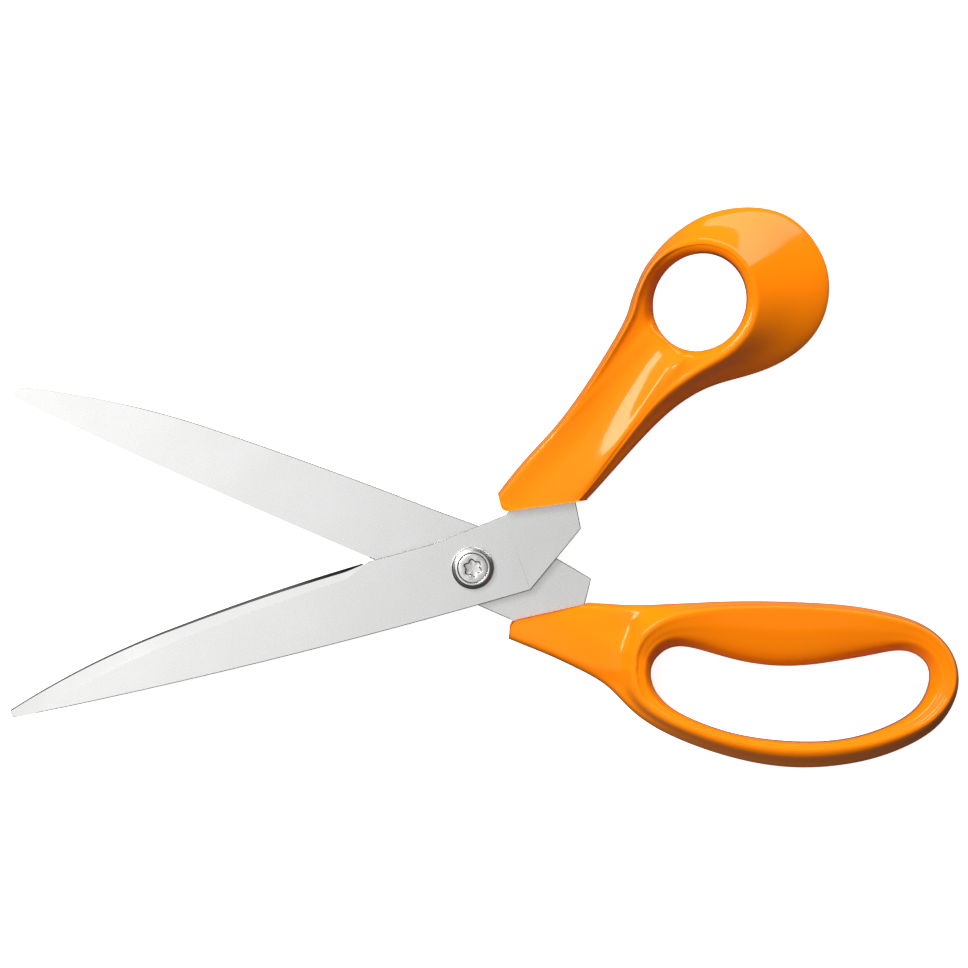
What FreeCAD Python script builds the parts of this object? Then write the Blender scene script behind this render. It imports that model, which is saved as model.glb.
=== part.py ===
# Dressmaking shears with moulded handles, about 270 mm long when closed, modelled open.
#
# Each half is drawn in its own frame: the pivot axis is Z, the closed blade tip points to -X, and
# z = 0 is the inner face of the back blade. A half is then turned about the pivot to its place in
# the open shears and lifted, so that the origin is the centre of the pivot nut's flat back face.
import FreeCAD, Part
import math
import os

import Sketcher

V = FreeCAD.Vector
doc = FreeCAD.newDocument("fabric_shears")


# ---------------------------------------------------------------- driving dimensions

SIZES = [
    # how far each tip swings from the closed line, degrees
    ("front_turn", 17.5),
    ("back_turn", 20.5),
    # blade stock, and the slip between the two blades
    ("blade_thickness", 2.8),
    ("glide_thickness", 0.2),
    # clearance between a blade's shoulder and the other half's handle when closed
    ("stop_gap", 0.35),
    # front blade: cutting edge above, nearly straight back below
    ("front_tip_x", 131.9),
    ("front_tip_edge_y", 1.0),
    ("front_tip_back_y", 1.35),
    ("front_tip_round", 1.6),
    ("front_knee_x", 81.4),
    ("front_knee_y", 9.1),
    ("front_nose_radius", 237.0),
    ("front_belly_radius", 630.0),
    ("front_heel_x", 24.5),
    ("front_heel_y", 10.1),
    ("ricasso_x", 8.0),
    ("ricasso_y", 9.5),
    ("front_shoulder_y", 11.1),
    ("front_back_y", 10.4),
    ("front_back_radius", 1733.0),
    ("front_end_x", 31.3),
    # back blade: curved back above, nearly straight cutting edge below
    ("back_tip_x", 134.1),
    ("back_tip_edge_y", 0.3),
    ("back_tip_back_y", 3.4),
    ("back_tip_back_x", 131.4),
    ("back_tip_round", 3.5),
    ("back_knee_x", 77.6),
    ("back_knee_y", 10.7),
    ("back_nose_radius", 245.0),
    ("back_belly_radius", 1370.0),
    ("back_heel_x", 16.6),
    ("back_heel_y", 11.2),
    ("back_edge_radius", 2333.0),
    ("back_edge_heel_x", 27.5),
    ("back_edge_heel_y", 7.2),
    ("back_shoulder_y", 9.6),
    ("back_end_x", 31.3),
    # the line where each handle ends across its blade, from heel corner to outer corner
    ("thumb_heel_x", 12.2),
    ("thumb_heel_y", 12.2),
    ("thumb_outer_x", 34.2),
    ("thumb_outer_y", 8.45),
    ("finger_heel_x", 14.6),
    ("finger_heel_y", -9.9),
    ("finger_outer_x", 32.6),
    ("finger_outer_y", 1.8),
    # tangs inside the handles, with two holes that the plastic fills
    ("tang_width", 9.0),
    ("thumb_tang_length", 34.0),
    ("thumb_tang_lean", 34.0),
    ("finger_tang_length", 27.0),
    ("finger_tang_lean", -14.0),
    ("lock_hole_radius", 2.0),
    ("lock_hole_pitch", 11.0),
    ("lock_hole_inset", 5.5),
    # ground bevels along the cutting edges
    ("bevel_tip_width", 4.7),
    ("bevel_heel_width", 2.7),
    ("bevel_tip_drop", 2.2),
    ("bevel_heel_drop", 1.3),
    ("bevel_runout", 9.0),
    ("edge_angle", 62.0),
    ("edge_land", 0.12),
    # pivot: a keyed nut with a bearing sleeve, a screw, a collar and two washers
    ("sleeve_radius", 3.4),
    ("running_gap", 0.05),
    ("neck_radius", 4.2),
    ("key_flat", 3.5),
    ("key_gap", 0.03),
    ("neck_relief", 0.1),
    ("sleeve_relief", 0.1),
    ("washer_gap", 0.15),
    ("glide_width", 2.65),
    ("nut_radius", 5.9),
    ("nut_thickness", 1.6),
    ("nut_chamfer", 0.4),
    ("spring_width", 1.05),
    ("spring_thickness", 0.5),
    ("screw_radius", 2.0),
    ("thread_gap", 0.02),
    ("screw_length", 6.5),
    ("screw_point", 0.3),
    ("bore_floor", 0.9),
    ("head_radius", 4.0),
    ("head_thickness", 1.5),
    ("head_sink", 0.2),
    ("head_gap", 0.15),
    ("head_chamfer", 0.25),
    ("collar_radius", 5.75),
    ("collar_floor", 0.7),
    ("collar_shoulder", 1.1),
    ("collar_wall_height", 0.7),
    ("drive_radius", 2.5),
    ("drive_core_radius", 1.95),
    ("drive_lobe_radius", 0.62),
    ("drive_depth", 1.2),
    # thumb handle, in the thumb half's frame
    ("thumb_hole_x", 80.8),
    ("thumb_hole_y", 50.5),
    ("thumb_hole_long", 13.6),
    ("thumb_hole_short", 12.4),
    ("thumb_hole_tilt", 42.5),
    ("thumb_rim_height", 8.2),
    ("thumb_back_depth", 5.4),
    ("bell_depth", 8.2),
    ("bell_wall", 3.6),
    ("thumb_shank_front", 6.9),
    ("bowl_shallow", 0.6),
    ("bowl_deep", 3.0),
    ("bowl_length", 48.0),
    ("flat_narrow", 1.0),
    ("flat_broad", 5.0),
    # finger handle, in the finger half's frame
    ("finger_rim_height", 8.0),
    ("finger_bar_height", 6.4),
    ("finger_back_depth", 9.4),
    ("finger_bar_depth", 8.0),
    ("finger_shank_front", 3.8),
    ("finger_shank_back", 6.6),
]


def make_sheet(sizes):
    sheet = doc.addObject("Spreadsheet::Sheet", "dims")
    for row, (alias, value) in enumerate(sizes, start=1):
        sheet.set("A%d" % row, alias)
        sheet.set("B%d" % row, str(value))
        sheet.setAlias("B%d" % row, alias)
    doc.recompute()
    return sheet


dims = make_sheet(SIZES)


def value_of(expression):
    return float(dims.evalExpression(expression.replace("dims.", "")))


# ---------------------------------------------------------------- small helpers

def plane_of(body, role):
    return [f for f in body.Origin.OriginFeatures if f.Role == role][0]


def new_body(label):
    body = doc.addObject("PartDesign::Body", label)
    body.Label = label
    return body


def new_sketch(body, name, role, height=None):
    sketch = body.newObject("Sketcher::SketchObject", name)
    sketch.AttachmentSupport = [(plane_of(body, role), "")]
    sketch.MapMode = "FlatFace"
    if height:
        sketch.setExpression("AttachmentOffset.Base.z", height)
    return sketch


def arc_between(start, end, radius, side):
    # the short arc from start to end; side +1 bulges to the left of the way travelled
    chord = end.sub(start)
    half = chord.Length / 2
    sag = radius - math.sqrt(max(radius * radius - half * half, 0))
    left = V(-chord.y, chord.x, 0).normalize()
    middle = start.add(end).multiply(0.5).add(left.multiply(side * sag))
    return Part.Arc(start, middle, end)


def bind(sketch, kind, where, expression):
    number = sketch.addConstraint(Sketcher.Constraint(kind, *where, value_of(expression)))
    sketch.setExpression("Constraints[%d]" % number, expression)


def draw_outline(sketch, corners):
    # corners: (x, y, radius) or (x, y); the radius is that of the edge on to the next corner,
    # which bulges to the left of the way travelled
    first = sketch.GeometryCount
    points = [V(value_of(corner[0]), value_of(corner[1]), 0) for corner in corners]
    ends = []
    for index, corner in enumerate(corners):
        start = points[index]
        end = points[(index + 1) % len(points)]
        if len(corner) > 2:
            sketch.addGeometry(arc_between(start, end, value_of(corner[2]), 1), False)
        else:
            sketch.addGeometry(Part.LineSegment(start, end), False)
        # an arc is stored counter-clockwise, so its first point may be the far one
        kept = sketch.getPoint(first + index, 1).distanceToPoint(start) < 1e-6
        ends.append((1, 2) if kept else (2, 1))
    for index, corner in enumerate(corners):
        edge = first + index
        following = (index + 1) % len(corners)
        sketch.addConstraint(Sketcher.Constraint(
            "Coincident", edge, ends[index][1], first + following, ends[following][0]))
        bind(sketch, "DistanceX", (-1, 1, edge, ends[index][0]), corner[0])
        bind(sketch, "DistanceY", (-1, 1, edge, ends[index][0]), corner[1])
        if len(corner) > 2:
            bind(sketch, "Radius", (edge,), corner[2])


def draw_circle(sketch, x, y, radius):
    centre = V(value_of(x), value_of(y), 0)
    edge = sketch.addGeometry(Part.Circle(centre, V(0, 0, 1), value_of(radius)), False)
    bind(sketch, "DistanceX", (-1, 1, edge, 3), x)
    bind(sketch, "DistanceY", (-1, 1, edge, 3), y)
    bind(sketch, "Radius", (edge,), radius)


def pad(body, sketch, length):
    feature = body.newObject("PartDesign::Pad", sketch.Name + "_pad")
    feature.Profile = sketch
    feature.setExpression("Length", length)
    return feature


def pocket(body, sketch, length, reverse=False):
    feature = body.newObject("PartDesign::Pocket", sketch.Name + "_pocket")
    feature.Profile = sketch
    feature.Reversed = reverse
    feature.setExpression("Length", length)
    return feature


PLANE_HEIGHT = "dims.nut_thickness + dims.spring_thickness + dims.blade_thickness"
FRONT_FACE = "dims.glide_thickness"


def place(item, turn=None):
    # lift an object to the blade plane's height and turn it with its half of the shears
    item.Placement = FreeCAD.Placement(V(0, 0, 0), FreeCAD.Rotation(V(0, 0, 1), 10))
    item.setExpression("Placement.Base.z", PLANE_HEIGHT)
    item.setExpression("Placement.Rotation.Angle", turn or "0")


FRONT_TURN = "dims.front_turn"
BACK_TURN = "-dims.back_turn"


# ---------------------------------------------------------------- blades

def tang_point(half, along, across):
    # a point of a tang, measured along its axis from the middle of the handle's end line
    lean = "dims.%s_tang_lean" % half
    x = ("(dims.{0}_heel_x + dims.{0}_outer_x) / 2 + ({1}) * cos({3}) - ({2}) * sin({3})")
    y = ("(dims.{0}_heel_y + dims.{0}_outer_y) / 2 + ({1}) * sin({3}) + ({2}) * cos({3})")
    return x.format(half, along, across, lean), y.format(half, along, across, lean)


def tang_corners(half, near_left, near_right):
    half_width = "dims.tang_width / 2"
    far = "dims.%s_tang_length - dims.tang_width / 2" % half
    return [
        tang_point(half, near_left, half_width),
        tang_point(half, far, half_width) + ("dims.tang_width * 0.51",),
        tang_point(half, far, "-" + half_width),
        tang_point(half, near_right, "-" + half_width),
    ]


def end_slope(half):
    return "((dims.{0}_outer_y - dims.{0}_heel_y) / (dims.{0}_outer_x - dims.{0}_heel_x))".format(half)


def shoulder_line(half, x, side):
    # height at x of the line that stays clear of a handle's end line by the stop gap
    slope = end_slope(half)
    return "dims.{0}_heel_y + {1} * ({2} - dims.{0}_heel_x) + {3} * dims.stop_gap * sqrt(1 + {1}^2)".format(
        half, slope, x, side)


def shoulder_x(half, y, side):
    # where that line reaches the height y
    slope = end_slope(half)
    return "dims.{0}_heel_x + ({2} - dims.{0}_heel_y - {3} * dims.stop_gap * sqrt(1 + {1}^2)) / {1}".format(
        half, slope, y, side)


def lock_holes(sketch, half):
    for step in range(2):
        along = "dims.{0}_tang_length - dims.lock_hole_inset - {1} * dims.lock_hole_pitch".format(half, step)
        x, y = tang_point(half, along, "0")
        draw_circle(sketch, x, y, "dims.lock_hole_radius")


def front_blank():
    body = new_body("front_blank")
    sketch = new_sketch(body, "front_outline", "XY_Plane", FRONT_FACE)
    corners = [
        ("-dims.front_tip_x", "dims.front_tip_edge_y", "dims.front_nose_radius"),
        ("-dims.front_knee_x", "dims.front_knee_y", "dims.front_belly_radius"),
        ("-dims.front_heel_x", "dims.front_heel_y"),
        ("-dims.ricasso_x", "dims.ricasso_y"),
        ("dims.thumb_heel_x + 0.3", "dims.front_shoulder_y"),
        ("dims.thumb_heel_x + 4.5", "dims.thumb_heel_y + 1"),
    ]
    corners += tang_corners("thumb", "3", "9")
    corners += [
        ("dims.thumb_outer_x - 1.9", "dims.thumb_outer_y + 2"),
        ("dims.front_end_x", shoulder_line("finger", "dims.front_end_x", 1)),
        (shoulder_x("finger", "(-dims.front_back_y)", 1), "-dims.front_back_y", "dims.front_back_radius"),
        ("-dims.front_tip_x + 0.8", "-dims.front_tip_back_y", "dims.front_tip_round"),
    ]
    draw_outline(sketch, corners)
    draw_circle(sketch, "0", "0", "dims.sleeve_radius + dims.running_gap")
    lock_holes(sketch, "thumb")
    pad(body, sketch, "dims.blade_thickness")
    return body


def keyed_outline(sketch, radius, flat):
    reach = "sqrt(({0})^2 - ({1})^2)".format(radius, flat)
    draw_outline(sketch, [
        ("-" + reach, flat),
        (reach, flat, radius),
        (reach, "-(%s)" % flat),
        ("-" + reach, "-(%s)" % flat, radius),
    ])


def back_blank():
    body = new_body("back_blank")
    sketch = new_sketch(body, "back_outline", "XY_Plane", "-dims.blade_thickness")
    spine_y = "(dims.back_heel_y + 0.2)"
    corners = [
        ("-dims.back_tip_back_x", "dims.back_tip_back_y", "dims.back_nose_radius"),
        ("-dims.back_knee_x", "dims.back_knee_y", "dims.back_belly_radius"),
        ("-dims.back_heel_x", "dims.back_heel_y"),
        (shoulder_x("thumb", spine_y, -1), spine_y),
        ("dims.back_end_x", shoulder_line("thumb", "dims.back_end_x", -1)),
        ("dims.finger_outer_x - 0.4", "dims.finger_outer_y - 1.6"),
    ]
    corners += tang_corners("finger", "9", "2")
    corners += [
        ("dims.finger_heel_x + 4", "dims.finger_heel_y - 1"),
        ("dims.finger_heel_x + 0.2", "-dims.back_shoulder_y"),
        ("-dims.back_edge_heel_x", "-dims.back_edge_heel_y", "dims.back_edge_radius"),
        ("-dims.back_tip_x", "-dims.back_tip_edge_y", "dims.back_tip_round"),
    ]
    draw_outline(sketch, corners)
    keyed_outline(sketch, "dims.neck_radius + dims.key_gap", "dims.key_flat + dims.key_gap")
    lock_holes(sketch, "finger")
    pad(body, sketch, "dims.blade_thickness")
    return body


def sized(alias):
    return float(dims.getContents(dims.getCellFromAlias(alias)))


def edge_points(arcs, count):
    # points along a cutting edge, tip to heel; arcs: (start, end, radius, side)
    points = []
    for start, end, radius, side in arcs:
        wire = arc_between(V(*start), V(*end), radius, side).toShape()
        spots = wire.discretize(count)
        points += spots if not points else spots[1:]
    # carried on past the tip, so that the grinding wheel leaves nothing there
    past_tip = points[0].sub(points[1]).normalize().multiply(4)
    return [points[0].add(past_tip)] + points


def ground_wedge(points, inward, reach, height_at, outward):
    """What grinding takes off the outer face along a cutting edge.

    height_at(point, across) is the ground surface's height at a distance across the blade from
    the edge; inward is the blade's side of the edge in Y, outward that of its outer face in Z.
    """
    curves = []
    for across in (reach, -0.6):
        line = [V(p.x, p.y + inward * across, height_at(p, across)) for p in points]
        curve = Part.BSplineCurve()
        curve.interpolate(line)
        curves.append(curve.toShape())
    return Part.makeRuledSurface(curves[0], curves[1]).extrude(V(0, 0, 8 * outward))


def grinding(name, points, inward, face_z, outward):
    # the wide bevel and the steep edge bevel of one blade, both running out at the heel
    thickness = sized("blade_thickness")
    tip, heel = points[0].x, points[-1].x

    def share(p):
        return (p.x - tip) / (heel - tip)

    def lift(p, drop):
        # the wheel leaves the blade towards the heel
        return (drop + 0.4) * max(0, 1 - (heel - p.x) / sized("bevel_runout"))

    def between(p, kind):
        low, high = sized("bevel_tip_" + kind), sized("bevel_heel_" + kind)
        return low + (high - low) * share(p)

    def wide(p, across):
        drop = between(p, "drop")
        return face_z + outward * (lift(p, drop) - drop * (1 - across / between(p, "width")))

    def steep(p, across):
        rise = sized("edge_land") + across * math.tan(math.radians(sized("edge_angle")))
        return face_z + outward * (lift(p, thickness) - thickness + rise)

    reach = 1.25 * max(sized("bevel_tip_width"), sized("bevel_heel_width"))
    wedges = [
        ground_wedge(points, inward, reach, wide, outward),
        ground_wedge(points, inward, 2.5, steep, outward),
    ]
    tool = doc.addObject("Part::Feature", name)
    tool.Shape = Part.makeCompound(wedges)
    return tool


def cut(label, base, tool):
    result = doc.addObject("Part::Cut", label)
    result.Label = label
    result.Base = base
    result.Tool = tool
    return result


def make_front_blade():
    blank = front_blank()
    points = edge_points([
        ((-sized("front_tip_x"), sized("front_tip_edge_y"), 0),
         (-sized("front_knee_x"), sized("front_knee_y"), 0), sized("front_nose_radius"), 1),
        ((-sized("front_knee_x"), sized("front_knee_y"), 0),
         (-sized("front_heel_x"), sized("front_heel_y"), 0), sized("front_belly_radius"), 1),
    ], 16)
    face = sized("glide_thickness") + sized("blade_thickness")
    wedge = grinding("front_grinding", points, -1, face, 1)
    blade = cut("front_blade", blank, wedge)
    place(blade, FRONT_TURN)
    return blade


def make_back_blade():
    blank = back_blank()
    points = edge_points([
        ((-sized("back_tip_x"), -sized("back_tip_edge_y"), 0),
         (-sized("back_edge_heel_x"), -sized("back_edge_heel_y"), 0), sized("back_edge_radius"), -1),
    ], 31)
    wedge = grinding("back_grinding", points, 1, -sized("blade_thickness"), -1)
    blade = cut("back_blade", blank, wedge)
    place(blade, BACK_TURN)
    return blade


# ---------------------------------------------------------------- moulded handles

def keyed(count, values):
    # a smooth run of values round a closed chain of stations, given at a few of them
    stations = sorted(values)
    run = []
    for index in range(count):
        before = max([s for s in stations if s <= index], default=stations[-1])
        after = min([s for s in stations if s > index], default=stations[0])
        span = (after - before) % count or count
        share = ((index - before) % count) / span
        blend = share * share * (3 - 2 * share)
        run.append(values[before] + (values[after] - values[before]) * blend)
    return run


def handle_section(hole, ridge, outer, z):
    """Eighteen control points round one section, from the opening's wall over the front and back.

    The section climbs from hole to ridge, falls to outer and returns underneath; z holds the
    heights. The points nearest the hole keep within a short throat, so that a long section
    leaves the hole round.
    """
    inner_run, outer_run = ridge.sub(hole), outer.sub(ridge)
    inner, width = inner_run.Length, outer_run.Length
    throat, step = min(0.35, 2.6 / inner), min(0.5, 8.0 / inner)
    lip = z["edge"] + z["lip_up"]
    foot = lip + z["hold"] * (z["rim"] - z["bead"] - lip)

    def inside(share, height):
        spot = hole.add(V(inner_run).multiply(share))
        return V(spot.x, spot.y, height)

    def outside(distance, share, height):
        spot = ridge.add(V(outer_run).multiply(min(distance / width, share)))
        return V(spot.x, spot.y, height)

    def hollow(share, extra=0.0):
        dome = 1 - (1 - min(share / 0.8, 1)) ** z["round"] + extra
        spot = inside(share, z["mouth"] + dome * (z["rim"] - z["dish"] - z["mouth"]))
        return V(spot.x, spot.y, spot.z + (z["bowl"](spot) - spot.z) * z["bowled"])

    return [
        inside(0, 0.5 * (z["mouth"] + z["back_in"])),
        inside(0, z["mouth"] - 1.2),
        inside(0.2 * throat, z["mouth"] - 0.1),
        hollow(throat, z["step"]),
        hollow(step),
        hollow(max(step + 0.12, 0.5)),
        hollow(0.8),
        inside(1 - 0.6 / inner, z["rim"]),
        outside(0.6, 0.2, z["rim"]),
        outside(1.8, 0.35, z["rim"] - z["bead"]),
        outside(z["foot"], 0.5, foot),
        outside(2 * z["foot"], 0.7, lip + z["flare"] * (foot - lip)),
        outside(width - min(0.5, 0.15 * width), 1.0, lip),
        outside(width + 0.35, 99.0, z["edge"]),
        outside(width - 0.8, 1.0, z["edge"] - z["lip_down"]),
        outside(0.45 * width, 1.0, z["back_out"]),
        inside(0.6, z["back_in"]),
        inside(0.15 * throat, z["back_in"] + 0.9),
    ]


def closed_solid(sections):
    # a smooth closed surface over a ring of sections, each a ring of control points
    net = []
    count = len(sections)
    for index, section in enumerate(sections):
        before = sections[index - 1]
        after = sections[(index + 1) % count]
        # sharpened along the ring, so that the surface keeps the sections' own size
        net.append([p.multiply(8 / 6).sub(before[k].add(after[k]).multiply(1 / 6))
                    for k, p in enumerate([V(q) for q in section])])
    surface = Part.BSplineSurface()
    rows, columns = len(net), len(net[0])
    surface.buildFromPolesMultsKnots(
        net, [1] * (rows + 1), [1] * (columns + 1),
        list(range(rows + 1)), list(range(columns + 1)), True, True, 3, 3)
    solid = Part.makeSolid(Part.makeShell([surface.toShape()]))
    if solid.Volume < 0:
        solid.reverse()
    return solid


# width of the thumb ring from the hole's edge to its outline, every 15 degrees from -107.5
RING_START = -107.5
RING_STEP = 15.0
RING_WIDTHS = [11.1, 9.8, 10.8, 13.3, 16.8, 20.5, 22.8, 23.6, 22.6, 20.6,
               16.6, 12.8, 9.9, 7.6, 6.3, 5.4, 5.3, 5.3, 6.3, 8.5]
# how far the shank's two sides stand off the straight lines from the ring to the end corners:
# (share of the way from the ring, offset), seen from above
OUTER_SIDE = [(0.19, 1.5), (0.41, 1.5), (0.64, 0.8), (0.85, 0.1)]
HEEL_SIDE = [(0.82, 0.3), (0.62, -1.2), (0.42, -1.6), (0.24, -1.2)]


def side_point(start, end, share, offset):
    along = end.sub(start)
    left = V(-along.y, along.x, 0).normalize()
    return start.add(V(along).multiply(share)).add(left.multiply(offset))


def thumb_outlines():
    # matching points round the hole's edge and round the outline, shank stations last
    centre = V(sized("thumb_hole_x"), sized("thumb_hole_y"), 0)
    long_axis, short_axis = sized("thumb_hole_long"), sized("thumb_hole_short")
    tilt = math.radians(sized("thumb_hole_tilt"))

    def edge_at(angle, further=0.0):
        turn = math.radians(angle) - tilt
        radius = long_axis * short_axis / math.hypot(
            short_axis * math.cos(turn), long_axis * math.sin(turn))
        return centre.add(V(math.cos(turn + tilt), math.sin(turn + tilt), 0).multiply(radius + further))

    angles = [RING_START + RING_STEP * step for step in range(len(RING_WIDTHS))]
    holes = [edge_at(angle) for angle in angles]
    outers = [edge_at(angle, width) for angle, width in zip(angles, RING_WIDTHS)]
    overrun = 9.0
    heel = V(sized("thumb_heel_x") + 0.2, sized("thumb_heel_y") + 3.9, 0)
    outer = V(sized("thumb_outer_x"), sized("thumb_outer_y"), 0)
    heel_way = side_point(heel, outers[-1], -overrun / heel.distanceToPoint(outers[-1]), 0)
    outer_way = side_point(outer, outers[0], -overrun / outer.distanceToPoint(outers[0]), 0)
    shank = [side_point(heel, outers[-1], 1 - share, offset) for share, offset in reversed(HEEL_SIDE)]
    shank += [heel_way, side_point(heel_way, outer_way, 0.5, 0), outer_way]
    shank += [side_point(outer, outers[0], 1 - share, offset) for share, offset in reversed(OUTER_SIDE)]
    spread = 360 - RING_STEP * (len(RING_WIDTHS) - 1)
    gap = spread / (len(shank) + 1)
    holes += [edge_at(angles[-1] + gap * (step + 1)) for step in range(len(shank))]
    return holes, outers + shank


# the ridge's share of the way from the hole to the outline round the ring, by station
THUMB_RIDGE = {0: 0.45, 1: 0.34, 2: 0.26, 3: 0.19, 5: 0.12, 7: 0.09, 9: 0.1, 11: 0.19, 12: 0.28,
               13: 0.4, 14: 0.56, 15: 0.72, 17: 0.82, 19: 0.82}
# and how far inside the outline it runs at each station of the shank
SHANK_INSETS = [1.2, 1.0, 0.9, 0.9, 0.9, 2.0, 1.0, 2.2, 3.0, 3.9, 4.9]


def inset_point(outline, index, distance):
    # a point of the outline moved inwards, square to the line through its neighbours
    way = outline[(index + 1) % len(outline)].sub(outline[index - 1])
    return outline[index].add(V(-way.y, way.x, 0).normalize().multiply(distance))


def way_past(point, run):
    # the distance from a point to a run of points, seen from above
    spot = V(point.x, point.y, 0)
    legs = [Part.makeLine(start, end) for start, end in zip(run, run[1:])]
    return min(leg.distToShape(Part.Vertex(spot))[0] for leg in legs)


def thumb_ridge(holes, outers):
    first = len(outers) - len(SHANK_INSETS)
    shares = keyed(first, THUMB_RIDGE)
    ring_part = [side_point(hole, outer, share, 0)
                 for hole, outer, share in zip(holes, outers, shares)]
    return ring_part + [inset_point(outers, first + k, inset) for k, inset in enumerate(SHANK_INSETS)]


def shank_bowl(ridge):
    """A function that gives the height of the shank's hollow between its two ridges."""
    left_ridge, right_ridge = ridge[16:25], ridge[26:] + ridge[:3]
    rim, front = sized("thumb_rim_height"), sized("thumb_shank_front")
    shallow, deep = sized("bowl_shallow"), sized("bowl_deep")
    narrow, broad = sized("flat_narrow"), sized("flat_broad")
    start, length = sized("thumb_heel_x"), sized("bowl_length")

    def height(point):
        # the flat beside the right ridge broadens into a shelf below the hole
        along = min(max((point.x - start) / length, 0), 1)
        flat = narrow + (broad - narrow) * along ** 5
        left = way_past(point, left_ridge)
        right = max(way_past(point, right_ridge) - flat, 0)
        share = left / (left + right)
        depth = shallow + (deep - shallow) * along ** 1.5
        return front + (rim - front) * along - depth * 4 * share * (1 - share)

    return height


def thumb_handle_form():
    holes, outers = thumb_outlines()
    count = len(holes)
    rim, front = sized("thumb_rim_height"), sized("thumb_shank_front")
    depth, bell = sized("thumb_back_depth"), sized("bell_depth")
    wall = sized("bell_wall")
    ridge = thumb_ridge(holes, outers)
    bowl = shank_bowl(ridge)
    rims = keyed(count, {0: rim, 17: rim, 23: front, 27: front, 30: rim})
    edges = keyed(count, {0: -3.0, 1: -4.4, 2: -6.4, 3: -7.6, 5: -bell, 8: -bell, 10: -0.6 * bell,
                          11: -2.8, 12: -1.0, 14: 0.0, 16: 0.2, 20: 1.0, 28: 0.5, 30: -1.0})
    lips = keyed(count, {0: 2.4, 3: 1.6, 10: 1.6, 12: 2.6, 14: 3.2, 18: 3.5, 27: 3.5, 30: 3.0})
    dishes = keyed(count, {0: 0.6, 3: 0.3, 13: 0.3, 16: 1.6, 20: 2.0})
    mouths = keyed(count, {0: 5.8, 1: 6.2, 3: rim - 1.3, 12: rim - 1.6, 14: 4.6, 16: 1.2, 18: 1.4,
                           21: 3.2, 24: 4.8, 28: 5.6})
    bowled = keyed(count, {0: 0.5, 1: 0.0, 17: 0.0, 22: 1.0, 29: 1.0})
    beads = keyed(count, {0: 1.4, 4: 1.3, 10: 1.3, 14: 0.9, 17: 0.7, 25: 0.7, 28: 1.2})
    back_out = keyed(count, {0: -5.6, 2: -8.4, 5: -0.62 * bell - wall, 8: -0.62 * bell - wall,
                             10: -8.0, 13: -6.2, 17: -4.6, 23: -4.2, 28: -4.4})
    sections = []
    for index in range(count):
        sections.append(handle_section(holes[index], ridge[index], outers[index], {
            "mouth": mouths[index], "round": 1.4, "step": 0.0, "rim": rims[index],
            "bead": beads[index], "dish": dishes[index], "bowl": bowl, "bowled": bowled[index],
            "foot": 99.0, "hold": 0.5, "flare": 0.58, "edge": edges[index],
            "lip_up": lips[index], "lip_down": lips[index],
            "back_out": back_out[index], "back_in": -depth}))
    return closed_solid(sections)


# the finger handle's outline and, matching it point by point, the edge of its opening
FINGER_OUTLINE = [
    (135.9, 11.0), (135.2, 17.2), (131.6, 23.2), (125.4, 27.2), (117.8, 28.7), (109.0, 28.0),
    (99.8, 26.3), (90.2, 23.5), (80.2, 20.2), (70.2, 16.5), (61.0, 12.7), (52.5, 9.1), (44.0, 5.6),
    (37.0, 3.5), (26.0, -0.3), (12.0, -4.0), (7.0, -13.2), (18.0, -14.6), (27.5, -15.0),
    (36.5, -15.8), (45.5, -17.2), (53.3, -21.0), (62.0, -23.4), (72.0, -24.2), (82.5, -23.9),
    (93.0, -22.5), (103.2, -19.7), (112.8, -15.4), (121.6, -9.9), (129.2, -3.0), (134.2, 4.0)]
FINGER_OPENING = [
    (127.5, 10.5), (127.3, 14.7), (125.7, 18.3), (121.8, 20.1), (116.7, 19.6), (110.1, 15.6),
    (103.3, 11.7), (95.7, 7.5), (86.9, 3.9), (77.1, 1.7), (68.0, 0.9), (61.2, 0.0), (57.5, -2.3),
    (55.9, -4.8), (55.3, -6.5), (55.2, -7.6), (55.2, -8.6), (55.5, -9.6), (55.9, -10.7),
    (56.6, -11.8), (57.7, -13.2), (60.2, -15.1), (65.2, -17.0), (72.8, -17.7), (82.0, -17.4),
    (91.2, -15.7), (100.2, -13.1), (108.7, -9.6), (116.3, -4.9), (122.7, 0.9), (126.3, 6.0)]


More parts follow.
